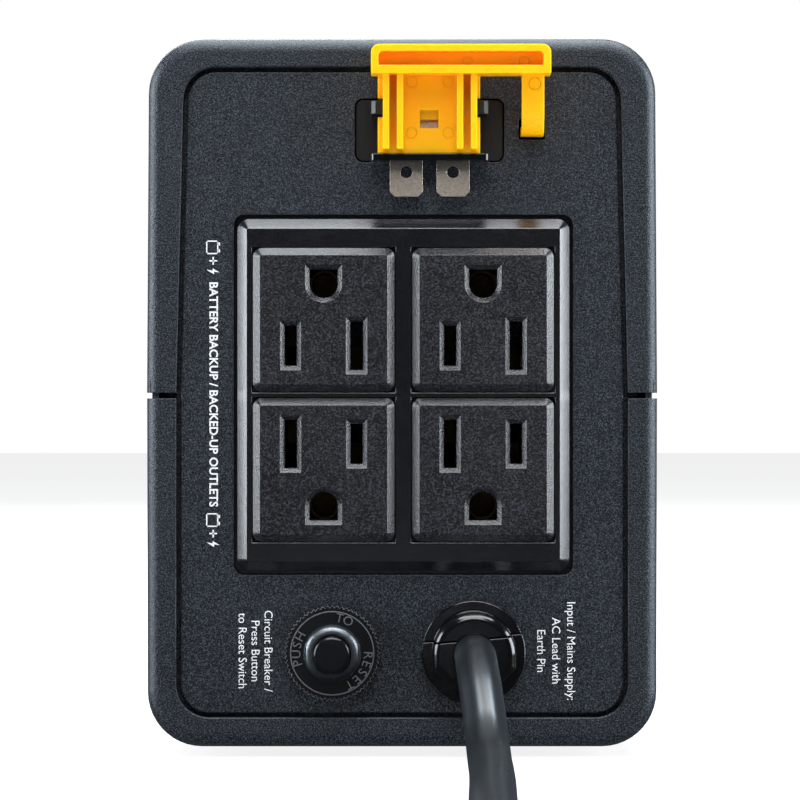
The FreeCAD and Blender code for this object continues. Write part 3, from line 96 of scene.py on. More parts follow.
def skin(bm, rings, closed):
    """Faces from ring to ring of points. A closed row of rings meets itself; an open one gets two caps."""
    after = rings[1:] + rings[:1] if closed else rings[1:]
    for near, far in zip(rings, after):
        for i in range(len(near)):
            bm.faces.new((near[i - 1], near[i], far[i], far[i - 1]))
    if not closed:
        bm.faces.new(rings[0])
        bm.faces.new(rings[-1])


def slab(bm, size, place):
    """A small box of a size with its middle at a place."""
    corners = bmesh.ops.create_cube(bm, size=1)["verts"]
    bmesh.ops.scale(bm, vec=size, verts=corners)
    bmesh.ops.translate(bm, vec=place, verts=corners)


# ---------------------------------------------------------------- camera
CAMERA_ACROSS, CAMERA_AWAY, CAMERA_UP = 0.0004, 0.72, 0.0691
CAMERA_LENS, CAMERA_SENSOR = 167.83, 36
camera = bpy.data.objects.new("camera", bpy.data.cameras.new("camera"))
scene.collection.objects.link(camera)
camera.data.lens, camera.data.sensor_width = CAMERA_LENS, CAMERA_SENSOR
camera.location = (CAMERA_ACROSS, RIM + CAMERA_AWAY, CAMERA_UP)
camera.rotation_euler = (math.pi / 2, 0, math.pi)
scene.camera = camera

# ---------------------------------------------------------------- mains cord
# Routes and the coil are in millimetres, and turns are in degrees.
CORD_DIAMETER = 8 * MM
CORD_ROUTE = [
    (-13.8, 119.1, 20.4), (-13.85, 131.5, 20.42), (-13.8, 143, 20.4), (-13.85, 152.5, 20.38),
    (-13.95, 161.2, 19.5), (-14.35, 168.9, 16.7), (-14.9, 175.9, 12.2), (-15.35, 182.8, 7.7),
    (-15.6, 190.5, 4.95), (-15.65, 199, 4.05), (-15.6, 209, 4.02), (-15.4, 222, 4), (-14.9, 243, 4.02),
    (-14.4, 267, 4), (-14.5, 291, 4.02), (-18.2, 314, 4), (-25, 337, 4.02), (-31.9, 359, 4),
    (-37.2, 381, 4.02), (-40, 405, 4)]
END_ROUTE = [(-32, 439, 12), (-32, 454, 12), (-31.9, 462, 12.04), (-31.7, 470, 12), (-31.6, 478, 12)]
COIL_MIDDLE, COIL_RADIUS, COLUMN = (14, 424), 54, 8
LOWER_LAYER, LAYER_RISE = 4, 8.1
COIL_STEP, COIL_TURNED = 12, 1440
# A change of column or layer: the turn at which it starts and the turn that it takes.
FIRST_INWARDS, SECOND_INWARDS, OUTWARDS, UPWARDS = (265, 80), (525, 100), (1080, 95), (815, 70)


def eased(turned, start, span):
    """0 before an angle, 1 a span after it, and a smooth change between."""
    share = min(max((turned - start) / span, 0), 1)
    return share * share * (3 - 2 * share)


def coil_point(turned):
    """The cord's middle after it has turned so many degrees: three columns wide and two layers high."""
    inwards = eased(turned, *FIRST_INWARDS) + eased(turned, *SECOND_INWARDS) - eased(turned, *OUTWARDS)
    radius = (COIL_RADIUS - COLUMN * inwards) / math.cos(math.radians(COIL_STEP / 2))
    angle = math.radians(180 - turned)
    height = LOWER_LAYER + LAYER_RISE * eased(turned, *UPWARDS)
    return (COIL_MIDDLE[0] + radius * math.cos(angle), COIL_MIDDLE[1] + radius * math.sin(angle), height)


def free_cord():
    """The whole cord as one curve, from inside its grip to inside its plug."""
    coil = [coil_point(turned) for turned in range(0, COIL_TURNED + 1, COIL_STEP)]
    points = CORD_ROUTE + coil + END_ROUTE
    curve = bpy.data.curves.new("mains_lead", "CURVE")
    curve.dimensions = "3D"
    spline = curve.splines.new("NURBS")
    spline.points.add(len(points) - 1)
    for point, place in zip(spline.points, points):
        point.co = (*[MM * length for length in place], 1)
        point.radius = CORD_DIAMETER / 2
    spline.order_u = 3
    spline.use_endpoint_u = True
    spline.resolution_u = 6
    curve.bevel_depth = 1  # times each point's radius, which also sets the curve's bounds
    curve.bevel_resolution = 7
    curve.use_fill_caps = True
    lead = add("mains_lead", curve)
    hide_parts("mains_cord", "mains_cord_coil", "mains_cord_end")
    return lead


lead = free_cord()

# ---------------------------------------------------------------- the strap around the coil
TIE_THICK, TIE_CORNER, TIE_EDGE, TIE_SIDES = 0.7 * MM, 4 * MM, 0.15 * MM, 40
# How the band and its lapped end sit within their CAD ring.
TIE_INSET, TIE_NARROWER = 1.2 * MM, 0.4 * MM
LAP_THICK, LAP_SHARE, LAP_NARROWER, LAP_DOWN = 0.6 * MM, 0.9, 1 * MM, 0.4 * MM


def band(bm, width, half_long, half_tall, centre):
    """A flat band around a rounded rectangle in the XZ plane, its width along Y."""
    rings = []
    for grow, side in ((0, -1), (TIE_THICK, -1), (TIE_THICK, 1), (0, 1)):
        y = centre[1] + side * width / 2
        ring = []
        for angle in angles(TIE_SIDES):
            across, up = math.cos(angle), math.sin(angle)
            along_x = math.copysign(half_long - TIE_CORNER, across) + (TIE_CORNER + grow) * across
            along_z = math.copysign(half_tall - TIE_CORNER, up) + (TIE_CORNER + grow) * up
            ring.append(bm.verts.new((centre[0] + along_x, y, centre[2] + along_z)))
        rings.append(ring)
    skin(bm, rings, closed=True)


def coil_tie():
    """A strap around the coil's turns, with its end lapped over itself."""
    low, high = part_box("cord_tie")
    centre = middle("cord_tie")
    half_long, half_tall = (high[0] - low[0]) / 2 - TIE_INSET, (high[2] - low[2]) / 2 - TIE_INSET
    wide = high[1] - low[1]

    def build(bm):
        band(bm, wide - TIE_NARROWER, half_long, half_tall, centre)
        slab(bm, (half_long * LAP_SHARE, wide - LAP_NARROWER, LAP_THICK),
             (centre[0], centre[1], high[2] - LAP_DOWN))
    tie = add("lead_tie", mesh_of("lead_tie", build))
    edges = tie.modifiers.new("round", "BEVEL")
    edges.width, edges.segments = TIE_EDGE, 2
    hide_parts("cord_tie")
    return tie


# ---------------------------------------------------------------- the sleeve at the plug
SLEEVE_START, SLEEVE_STOP, SLEEVE_UP = 456.5 * MM, 478.5 * MM, 12.05 * MM
SLEEVE_SLIM, SLEEVE_STOUT, SLEEVE_SIDES = 4.25 * MM, 6.4 * MM, 28
RIBS, RIB_STEPS, NOTCHED_STEPS = 6, 6, (3, 4)
RIB_NOTCH, FIRST_NOTCH = 0.55 * MM, 0.4  # a depth, and the share of it that the notches start with


def strain_relief():
    """The tapered, ribbed sleeve where the lead enters its plug."""
    first, last = END_ROUTE[1][0], END_ROUTE[-1][0]

    def build(bm):
        rings = []
        for k in range(RIBS * RIB_STEPS + 1):
            share = k / (RIBS * RIB_STEPS)
            notch = RIB_NOTCH * (FIRST_NOTCH + share) if k % RIB_STEPS in NOTCHED_STEPS else 0
            radius = SLEEVE_SLIM + (SLEEVE_STOUT - SLEEVE_SLIM) * share - notch
            x = (first + (last - first) * share) * MM
            y = SLEEVE_START + (SLEEVE_STOP - SLEEVE_START) * share
            rings.append([bm.verts.new((x + radius * math.cos(a), y, SLEEVE_UP + radius * math.sin(a)))
                          for a in angles(SLEEVE_SIDES)])
        skin(bm, rings, closed=False)
    return add("plug_strain_relief", mesh_of("plug_strain_relief", build))


tie = coil_tie()
relief = strain_relief()


# ---------------------------------------------------------------- springs
def live_spring(name, node):
    """The node's coil again, as a piece of its own. The real spring sits between the case and a button."""
    spring = bpy.data.objects.new(name, nodes[node].data.copy())
    scene.collection.objects.link(spring)
    spring.matrix_world = nodes[node].matrix_world.copy()
    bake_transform(spring)
    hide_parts(node)
    return spring


springs = [live_spring("power_return_spring", "power_switch_spring"),
           live_spring("reset_return_spring", "reset_spring")]


# ---------------------------------------------------------------- materials
class Finish:
    """A material and short ways to add its nodes. Lengths in its patterns are in millimetres."""
    # A mix node has its own sockets for each kind of value: its share, and the two values it mixes.
    NUMBER_SOCKETS, COLOUR_SOCKETS, MIXED_COLOUR = (0, 2, 3), (0, 6, 7), 2

    def __init__(self, name, colour, rough, metal=0.0, specular=0.5, coat=0.0):
        self.material = bpy.data.materials.new(name)
        self.material.use_nodes = True
        self.tree = self.material.node_tree
        self.shader = self.tree.nodes["Principled BSDF"]
        self.colour, self.rough = colour, rough
        self.set(Base_Color=(*colour, 1), Metallic=metal, Roughness=rough, Specular_IOR_Level=specular,
                 Coat_Weight=coat, Coat_Roughness=0.08)
        self.place = self.node("ShaderNodeTexCoord").outputs["Object"]

    def set(self, **values):
        """Sets the shader's own sockets, by their names with _ for each space."""
        for name, value in values.items():
            self.shader.inputs[name.replace("_", " ")].default_value = value

    def feed(self, socket, source):
        """Links another node's output to a socket, or sets a plain value there."""
        if isinstance(source, bpy.types.NodeSocket):
            self.tree.links.new(source, socket)
        else:
            socket.default_value = source

    def node(self, kind, **inputs):
        made = self.tree.nodes.new(kind)
        for name, source in inputs.items():
            self.feed(made.inputs[name.replace("_", " ")], source)
        return made

    def combine(self, kind, operation, first, second):
        made = self.node(kind)
        made.operation = operation
        self.feed(made.inputs[0], first)
        self.feed(made.inputs[1], second)
        return made

    def noise(self, size, detail=2.0, stretch=None):
        place = self.place
        if stretch:
            place = self.node("ShaderNodeMapping", Vector=place, Scale=stretch).outputs[0]
        return self.node("ShaderNodeTexNoise", Vector=place, Scale=1000 / size, Detail=detail).outputs[0]

    def cells(self, size, smooth=0.6):
        made = self.node("ShaderNodeTexVoronoi", Vector=self.place, Scale=1000 / size)
        made.feature = "SMOOTH_F1"
        made.inputs["Smoothness"].default_value = smooth
        return made.outputs["Distance"]

    def mix(self, share, first, second):
        made = self.node("ShaderNodeMix")
        made.data_type = "FLOAT"
        for index, source in zip(self.NUMBER_SOCKETS, (share, first, second)):
            self.feed(made.inputs[index], source)
        return made.outputs[0]

    def spread(self, source, low, high, start=0.3, stop=0.7):
        """Turns a pattern's start-to-stop range into low-to-high."""
        return self.node("ShaderNodeMapRange", Value=source, From_Min=start, From_Max=stop,
                         To_Min=low, To_Max=high).outputs[0]

    def paint(self, share, other):
        """Mixes another colour over what the shader has, by a share."""
        made = self.node("ShaderNodeMix")
        made.data_type = "RGBA"
        base = self.shader.inputs["Base Color"]
        under = base.links[0].from_socket if base.is_linked else base.default_value
        for index, source in zip(self.COLOUR_SOCKETS, (share, under, (*other, 1))):
            self.feed(made.inputs[index], source)
        self.tree.links.new(made.outputs[self.MIXED_COLOUR], base)

    def link(self, source, name):
        self.tree.links.new(source, self.shader.inputs[name])

    def vary(self, size=25, amount=0.18, rough=0.06):
        """Slow changes of tone and gloss, as on any moulding that has been handled."""
        broad = self.noise(size, 3)
        self.paint(self.spread(broad, 0, amount), [min(1, c * 1.5 + 0.004) for c in self.colour])
        fine = self.noise(size / 9, 4)
        both = self.mix(0.5, broad, fine)
        self.link(self.spread(both, self.rough - rough, self.rough + rough), "Roughness")

    def relief(self, height, depth, edge=0.25):
        """Bump of a depth in millimetres over edges rounded by a radius in millimetres."""
        bump = self.node("ShaderNodeBump", Height=height, Distance=depth * MM)
        if edge:
            rounded = self.node("ShaderNodeBevel", Radius=edge * MM)
            rounded.samples = 6
            self.rounded = rounded.outputs[0]
            self.feed(bump.inputs["Normal"], self.rounded)
        self.link(bump.outputs[0], "Normal")

    def wear(self, colour, amount=0.5):
        """A rub of another colour along the edges that relief() rounds, broken up by fine noise. With a
        very pale colour, as on the breaker's nut, it is a painted highlight as well as a rub.
        """
        true_normal = self.node("ShaderNodeNewGeometry").outputs["Normal"]
        turn = self.combine("ShaderNodeVectorMath", "DOT_PRODUCT", self.rounded, true_normal)
        # The two normals agree, with a product of 1, away from the edges.
        rub_and_highlight = self.spread(turn.outputs["Value"], amount, 0, 0.86, 0.995)
        patches = self.spread(self.noise(0.9, 3), 0.3, 1)
        self.paint(self.combine("ShaderNodeMath", "MULTIPLY", rub_and_highlight, patches).outputs[0], colour)


NEUTRAL_GLINT, CASE_GLINT = (1, 1, 1), (0.86, 0.94, 1.0)


def moulded(name, colour, rough, grain=0.4, depth=0.03, wear=0.35, specular=0.5, edge=0.25, coat=0.0,
            painted_grain_shading=0.0, glint=NEUTRAL_GLINT, ior=1.5, rub_and_highlight=None, glow=0.0):
    """Injection-moulded plastic: a fine spark-eroded grain, with painted highlights and painted shade on
    that grain where asked, slow tone changes, rubbed edges.
    """
    finish = Finish(name, colour, rough, specular=specular, coat=coat)
    finish.set(Specular_Tint=(*glint, 1), IOR=ior)
    if glow:
        # Light enters a bright, thin wall and leaves it nearby, redder for the way it has gone.
        finish.set(Subsurface_Weight=glow, Subsurface_Radius=(1.0, 0.35, 0.05), Subsurface_Scale=3.5 * MM)
    finish.vary()
    pebbles = finish.mix(0.45, finish.cells(grain), finish.noise(grain * 0.55, 2))
    if painted_grain_shading:
        # Painted highlights and painted shade on the grain: patches painted paler than the rest stand for
        # lit grain tops, and darker ones for shade in its hollows.
        painted_grain_highlight = finish.spread(finish.noise(grain * 1.05, 2), 0, 1, 0.46, 0.64)
        finish.paint(painted_grain_highlight, [min(1, c * (1 + painted_grain_shading)) for c in colour])
        painted_grain_shade = finish.spread(finish.noise(grain * 1.25, 1), 0.8, 0, 0.34, 0.5)
        finish.paint(painted_grain_shade, [c * 0.15 for c in colour])
    finish.relief(pebbles, depth, edge)
    if wear:
        finish.wear(rub_and_highlight or [min(1, c * 2.2 + 0.02) for c in colour], wear)
    return finish.material


def rubber(name, colour, rough=0.4, specular=0.45, depth=0.03, ior=1.5, glint=NEUTRAL_GLINT):
    """Soft, slightly uneven rubber, foam or webbing."""
    finish = Finish(name, colour, rough, specular=specular)
    finish.set(Specular_Tint=(*glint, 1), IOR=ior)
    finish.vary(14, 0.15, min(0.06, 2 * depth))
    finish.relief(finish.mix(0.5, finish.noise(0.5, 3), finish.noise(4, 2)), depth, 0.2)
    return finish.material


def metal(name, colour, rough, brushed=(1, 1, 14), stain=(0.25, 0.2, 0.15), tarnish=0.35, edge=0.12):
    """Stamped metal: rolling lines, blotches of tarnish and bright edges."""
    finish = Finish(name, colour, rough, metal=1.0)
    blotch = finish.noise(2.2, 5)
    finish.paint(finish.spread(blotch, 0, tarnish, 0.35, 0.75), stain)
    specks = finish.spread(finish.noise(0.5, 3), 0, 1.4 * tarnish, 0.42, 0.7)
    finish.paint(specks, [c * 0.45 for c in colour])
    lines = finish.noise(1.4, 3, brushed)
    finish.link(finish.spread(finish.mix(0.6, blotch, lines), rough - 0.1, rough + 0.14), "Roughness")
    finish.relief(finish.mix(0.5, lines, finish.noise(0.5, 2)), 0.02, edge)
    finish.wear([min(1, c * 1.25) for c in colour], 0.6)
    return finish.material


def board(name):
    """Solder mask over copper tracks."""
    finish = Finish(name, (0.012, 0.09, 0.035), 0.32, coat=0.3)
    tracks = finish.node("ShaderNodeTexBrick", Vector=finish.place, Scale=160, Mortar_Size=0.06)
    finish.paint(tracks.outputs["Fac"], (0.03, 0.17, 0.07))
    finish.relief(finish.mix(0.5, tracks.outputs["Fac"], finish.noise(1, 2)), 0.03, 0.1)
    return finish.material


def wound(name, colour, rough, scale):
    """Layers of wire or tape, seen as parallel lines that are closer at a larger scale."""
    finish = Finish(name, colour, rough, specular=0.6)
    waves = finish.node("ShaderNodeTexWave", Vector=finish.place, Scale=scale, Distortion=1.2)
    waves.bands_direction = "Z"
    finish.paint(waves.outputs["Fac"], [c * 0.5 for c in colour])
    finish.relief(waves.outputs["Fac"], 0.1, 0.3)
    return finish.material


def laminated(name):
    """A stack of steel sheets with a film of varnish."""
    finish = Finish(name, (0.05, 0.045, 0.045), 0.45, metal=0.7)
    waves = finish.node("ShaderNodeTexWave", Vector=finish.place, Scale=90, Distortion=0.4)
    waves.bands_direction = "Y"
    finish.paint(waves.outputs["Fac"], (0.14, 0.13, 0.13))
    finish.relief(waves.outputs["Fac"], 0.06, 0.3)
    return finish.material


def ink(name):
    """Screen-printed white, slightly thin in places."""
    finish = Finish(name, (0.72, 0.74, 0.76), 0.5)
    finish.paint(finish.spread(finish.noise(0.5, 3), 0, 0.35, 0.45, 0.8), (0.35, 0.36, 0.38))
    finish.relief(finish.noise(0.3, 2), 0.01, 0)
    return finish.material


# A colour is followed by its roughness, and for a moulded material by grain, depth and wear.
MATERIALS = {
    # The case, front, module and outlet plastics have painted highlights and painted shade on their grain.
    "case_plastic": lambda n: moulded(n, (0.0088, 0.0104, 0.0132), 0.38, 0.27, 0.09, 0.3, edge=0.3,
                                      painted_grain_shading=4.0, glint=CASE_GLINT),
    "front_plastic": lambda n: moulded(n, (0.0088, 0.0104, 0.0132), 0.38, 0.27, 0.09, 0.3, edge=0.4,
                                       painted_grain_shading=4.0, glint=CASE_GLINT),
    "module_plastic": lambda n: moulded(n, (0.0025, 0.0026, 0.0036), 0.22, 0.3, 0.012, 0.3, specular=0.9,
                                        ior=1.7, painted_grain_shading=2.5),
    "outlet_plastic": lambda n: moulded(n, (0.0032, 0.0034, 0.0046), 0.31, 0.33, 0.08, 0.5, specular=0.8,
                                        ior=1.6, edge=0.2, painted_grain_shading=9.0),
    "inner_plastic": lambda n: moulded(n, (0.014, 0.014, 0.016), 0.5, 0.6, 0.02),
    "socket_plastic": lambda n: moulded(n, (0.0095, 0.0095, 0.0105), 0.38, 0.5, 0.02),
    "gloss_black": lambda n: moulded(n, (0.0018, 0.0018, 0.0022), 0.13, 0.8, 0.003, 0, specular=0.8,
                                     edge=0.3),
    "handle_yellow": lambda n: moulded(n, (0.97, 0.445, 0.001), 0.34, 0.6, 0.012, 0.2, specular=0.35,
                                       edge=0.2, glow=0.7),
    # The nut's very pale edge colour is partly wear and partly a painted highlight along the crests of its
    # teeth.
    "nut_plastic": lambda n: moulded(n, (0.0040, 0.0040, 0.0050), 0.30, 0.4, 0.015, 1.0, edge=0.2,
                                     rub_and_highlight=(0.22, 0.24, 0.26)),
    # Painted highlight: the nut's raised letters and bead are much paler than the nut, standing for light
    # caught on their edges.
    "nut_crests_painted_highlight": lambda n: moulded(n, (0.085, 0.092, 0.10), 0.3, 0.4, 0.01, 0, edge=0.05),
    "breaker_plastic": lambda n: moulded(n, (0.012, 0.012, 0.013), 0.45),
    "button_plastic": lambda n: moulded(n, (0.0035, 0.0033, 0.0048), 0.22, 0.6, 0.006, 0.2),
    "bobbin_plastic": lambda n: moulded(n, (0.55, 0.52, 0.42), 0.5),
    "battery_plastic": lambda n: moulded(n, (0.02, 0.021, 0.023), 0.55, 0.7, 0.05),
    "battery_top": lambda n: moulded(n, (0.03, 0.03, 0.032), 0.5, 0.7, 0.04),
    "relay_blue": lambda n: moulded(n, (0.02, 0.09, 0.35), 0.4, 0.6, 0.01),
    "chip_black": lambda n: moulded(n, (0.015, 0.015, 0.015), 0.5, 0.3, 0.02),
    "fuse_green": lambda n: moulded(n, (0.03, 0.3, 0.1), 0.3),
    "capacitor_sleeve": lambda n: moulded(n, (0.02, 0.02, 0.05), 0.28, 1.2, 0.02),
    "led_green": lambda n: moulded(n, (0.2, 0.75, 0.25), 0.2, 1, 0.005, 0),
    "lens_smoke": lambda n: moulded(n, (0.03, 0.035, 0.035), 0.12, 1.5, 0.004, 0.1, coat=0.4),
    "foot_rubber": lambda n: rubber(n, (0.016, 0.016, 0.017), 0.7),
    "cord_rubber": lambda n: rubber(n, (0.0040, 0.0052, 0.0068), 0.28, specular=1.0, depth=0.004, ior=1.7,
                                    glint=CASE_GLINT),
    "plug_rubber": lambda n: rubber(n, (0.009, 0.0095, 0.0105), 0.42),
    "tie_plastic": lambda n: rubber(n, (0.02, 0.02, 0.022), 0.65),
    "foam": lambda n: rubber(n, (0.05, 0.05, 0.055), 0.9),
    "lead_red": lambda n: rubber(n, (0.5, 0.02, 0.02), 0.4),
    "nickel": lambda n: metal(n, (0.76, 0.67, 0.58), 0.46),
    "brass": lambda n: metal(n, (0.34, 0.23, 0.10), 0.45, stain=(0.12, 0.08, 0.04)),
    "copper": lambda n: wound(n, (0.6, 0.22, 0.07), 0.3, scale=1000 / 12),
    "winding_tape": lambda n: wound(n, (0.65, 0.5, 0.08), 0.35, scale=10),
    "lamination_steel": laminated,
    "strap_steel": lambda n: metal(n, (0.5, 0.5, 0.5), 0.4),
    "steel_screw": lambda n: metal(n, (0.45, 0.45, 0.47), 0.35),
    "spring_steel": lambda n: metal(n, (0.5, 0.5, 0.52), 0.3),
    "bushing_metal": lambda n: metal(n, (0.22, 0.245, 0.27), 0.38, stain=(0.08, 0.09, 0.10)),
    "sink_aluminium": lambda n: metal(n, (0.75, 0.76, 0.78), 0.35, brushed=(1, 12, 1)),
    "board_green": board,
    "print_white": ink,
}
ready = {}


def material(slot):
    if slot not in ready:
        ready[slot] = MATERIALS[slot](slot)
    return ready[slot]


def dress(piece, slot):
    piece.data.materials.clear()
    piece.data.materials.append(material(slot))


for subpart in frame["record"]["subparts"]:
    dress(nodes[subpart["node"]], subpart["material_slot"])
dress(lead, "cord_rubber")
dress(tie, "tie_plastic")
dress(relief, "plug_rubber")
for spring in springs:
    dress(spring, "spring_steel")

# ---------------------------------------------------------------- printed legends
FILM = 0.02 * MM
INK_Y = PANEL + 0.03 * MM
PRINT_SIZE, PRINT_BOLDER = 2.3 * MM, 0.05 * MM
# A line of words reads downwards, along -Z, with its face to the rear.
READ_DOWN = Matrix(((0, -1, 0, 0), (0, 0, 1, 0), (-1, 0, 0, 0), (0, 0, 0, 1)))
EDGE_COLUMN, LOW_LEGENDS = 36.5 * MM, 20.6 * MM
ICONS_UP = (98.6 * MM, 45.9 * MM)


def lettering(bm, words, size, place, deep=FILM, heavy=0.0):
    """Adds words as solid letters, centred on their place, their faces along its local Z."""
    text = bpy.data.curves.new("letters", "FONT")
    text.body, text.size, text.align_x, text.align_y = words, size, "CENTER", "CENTER"
    text.offset, text.extrude = heavy, deep / 2
    text.resolution_u = 3
    holder = bpy.data.objects.new("letters", text)
    shape = bpy.data.meshes.new_from_object(holder)
    shape.transform(place)
    bm.from_mesh(shape)
    bpy.data.objects.remove(holder)
    bpy.data.curves.remove(text)
    bpy.data.meshes.remove(shape)


def legend(name, lines, first, pitch, up, heavy=0.0):
    """Lines of words printed on the rear panel, side by side from the first one's place across."""
    def build(bm):
        for i, words in enumerate(lines):
            place = Matrix.Translation((first + pitch * i, INK_Y, up))
            lettering(bm, words, PRINT_SIZE, place @ READ_DOWN, FILM, heavy)
    piece = add(name, mesh_of(name, build))
    dress(piece, "print_white")


def flat_shape(bm, outline, x, z):
    """A thin printed shape from its outline's (along, up) points, reading downwards from a place."""
    front, back = [[bm.verts.new((x - up, INK_Y + side * FILM / 2, z - along)) for along, up in outline]
                   for side in (1, -1)]
    skin(bm, [front, back], closed=False)


def line_loop(bm, outline, thick, x, z):
    """A printed outline of even thickness around convex corners."""
    for i, (ax, ay) in enumerate(outline):
        bx, by = outline[(i + 1) % len(outline)]
        along = Vector((bx - ax, by - ay)).normalized() * thick / 2
        across = Vector((-along.y, along.x))
        a, b = Vector((ax, ay)) - along, Vector((bx, by)) + along
        flat_shape(bm, [a - across, b - across, b + across, a + across], x, z)


def rectangle(left, low, right, high):
    return [(left, low), (right, low), (right, high), (left, high)]


# The battery's posts stand on its lid. The plus sign and the bolt have their places along the row.
ICON_TALL, ICON_LINE = 1.25 * MM, 0.24 * MM
BATTERY_HALF, LID_UP, POST_TOP = 1.2 * MM, 0.7 * ICON_TALL, 1.05 * ICON_TALL
POST_OUT, POST_HALF = 0.66 * MM, 0.3 * MM
PLUS_ALONG, PLUS_LONG, PLUS_WIDE = 2.6 * MM, 0.75 * MM, 0.14 * MM
BOLT_ALONG = 4.6 * MM
BOLT = [(0.25, 1.25), (-0.55, -0.1), (-0.08, -0.1), (-0.3, -1.3), (0.6, 0.15), (0.1, 0.15)]


def backup_icon(bm, x, z):
    """A battery outline, a plus sign and a lightning bolt, in a row."""
    line_loop(bm, rectangle(-BATTERY_HALF, -ICON_TALL, BATTERY_HALF, LID_UP), ICON_LINE, x, z)
    for post in (-POST_OUT, POST_OUT):
        flat_shape(bm, rectangle(post - POST_HALF, LID_UP, post + POST_HALF, POST_TOP), x, z)
    for long, wide in ((PLUS_LONG, PLUS_WIDE), (PLUS_WIDE, PLUS_LONG)):
        flat_shape(bm, rectangle(PLUS_ALONG - long, -wide, PLUS_ALONG + long, wide), x, z)
    flat_shape(bm, [(BOLT_ALONG + along * MM, up * MM) for along, up in BOLT], x, z)


legend("legend_backup", ["BATTERY BACKUP / BACKED-UP OUTLETS"], EDGE_COLUMN, 0, 70.2 * MM, PRINT_BOLDER)
legend("legend_breaker", ["Circuit Breaker /", "Press Button", "to Reset Switch"],
       25.9 * MM, 2.5 * MM, LOW_LEGENDS)
legend("legend_input", ["Input / Mains Supply:", "AC Lead with", "Earth Pin"],
       -32.6 * MM, 2.9 * MM, LOW_LEGENDS)
icons = add("legend_icons", mesh_of("legend_icons", lambda bm: [
    backup_icon(bm, EDGE_COLUMN, up) for up in ICONS_UP]))
dress(icons, "print_white")

# ---------------------------------------------------------------- raised marks on the breaker's nut
# Letters stand upright for someone behind the object, to whom right is -X and up is +Z.
UPRIGHT = Matrix(((-1, 0, 0, 0), (0, 0, 1, 0), (0, 1, 0, 0), (0, 0, 0, 1)))
# Each word with the turn of its middle from the top, in degrees.
NUT_WORDS = (("PUSH", 84), ("TO", -19), ("RESET", -122))
NUT_LETTER, NUT_LETTER_DEEP, NUT_LETTER_TURN, NUT_WORD_RADIUS = 2.5 * MM, 0.36 * MM, 14.6, 6.85 * MM
NUT_BEAD_RADIUS, NUT_BEAD_THICK, NUT_BEAD_SIDES = 8.0 * MM, 0.13 * MM, 72
BEAD_SECTION = 6


def ring_bead(bm, radius, thick, centre, sides):
    """A fine raised bead around a circle that faces +Y."""
    rings = []
    for turn in angles(sides):
        rings.append([bm.verts.new((centre[0] + (radius + thick * math.cos(b)) * math.cos(turn),
                                    centre[1] + thick * math.sin(b),
                                    centre[2] + (radius + thick * math.cos(b)) * math.sin(turn)))
                      for b in angles(BEAD_SECTION)])
    skin(bm, rings, closed=True)


def nut_marks(bm):
    x, _, z = middle("breaker_nut")
    centre = Vector((x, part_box("breaker_nut")[1][1], z))
    for word, start in NUT_WORDS:
        for i, letter in enumerate(word):
            angle = start - (i - (len(word) - 1) / 2) * NUT_LETTER_TURN
            place = (Matrix.Translation(centre)
                     @ Matrix.Rotation(math.radians(angle), 4, "Y")
                     @ Matrix.Translation((0, 0, NUT_WORD_RADIUS)) @ UPRIGHT)
            lettering(bm, letter, NUT_LETTER, place, NUT_LETTER_DEEP)
    ring_bead(bm, NUT_BEAD_RADIUS, NUT_BEAD_THICK, centre, NUT_BEAD_SIDES)


marks = add("nut_marks", mesh_of("nut_marks", nut_marks))
# The marks are painted paler than the nut as a painted highlight.
dress(marks, "nut_crests_painted_highlight")

# ---------------------------------------------------------------- mould marks on the yellow handle
HANDLE_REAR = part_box("battery_plug_handle")[1][1]
PLATE_Y, BAR_Y, STRAP_Y = HANDLE_REAR - 7 * MM, HANDLE_REAR - 4.5 * MM, PANEL + 7.6 * MM
MARK_THICK, MARK_SIDES = 0.05 * MM, 28
# Round ejector marks: radius, across and up in millimetres, and how far back their surface is.
EJECTOR_MARKS = [
    (1.0, -1.9, 130.05, PLATE_Y), (1.0, -8.85, 130.05, PLATE_Y),
    (1.0, -1.8, 120.3, PLATE_Y), (1.0, -8.85, 120.3, PLATE_Y),
    (0.95, -12.5, 133.8, BAR_Y), (0.95, -23.3, 133.8, BAR_Y),
    (1.15, -25.4, 129.6, STRAP_Y)]


def handle_marks(bm):
    for radius, x, z, y in EJECTOR_MARKS:
        ring_bead(bm, radius * MM, MARK_THICK, (x * MM, y, z * MM), MARK_SIDES)


moulding = add("handle_marks", mesh_of("handle_marks", handle_marks), "battery_plug")
dress(moulding, "handle_yellow")

# ---------------------------------------------------------------- power mark on the front button
SYMBOL_INNER, SYMBOL_OUTER, SYMBOL_DEEP, SYMBOL_SIDES = 3.0 * MM, 3.55 * MM, 0.2 * MM, 40
SYMBOL_GAP = 64  # degrees left open at the top of its ring
STROKE_WIDE, STROKE_TALL = 0.55 * MM, 2.6 * MM


def power_mark(bm):
    """A ring that is open at the top, with a short stroke in its gap."""
    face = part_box("power_button")[0][1] - 0.06 * MM
    x, _, z = middle("power_button")
    section = ((SYMBOL_INNER, face), (SYMBOL_OUTER, face),
               (SYMBOL_OUTER, face + SYMBOL_DEEP), (SYMBOL_INNER, face + SYMBOL_DEEP))
    rings = []
    for k in range(SYMBOL_SIDES + 1):
        turn = math.radians(90 + SYMBOL_GAP / 2 + (360 - SYMBOL_GAP) * k / SYMBOL_SIDES)
        rings.append([bm.verts.new((x + radius * math.cos(turn), y, z + radius * math.sin(turn)))
                      for radius, y in section])
    skin(bm, rings, closed=False)
    slab(bm, (STROKE_WIDE, SYMBOL_DEEP, STROKE_TALL), (x, face + SYMBOL_DEEP / 2, z + STROKE_TALL))


symbol = add("power_mark", mesh_of("power_mark", power_mark), "power_button")
dress(symbol, "print_white")


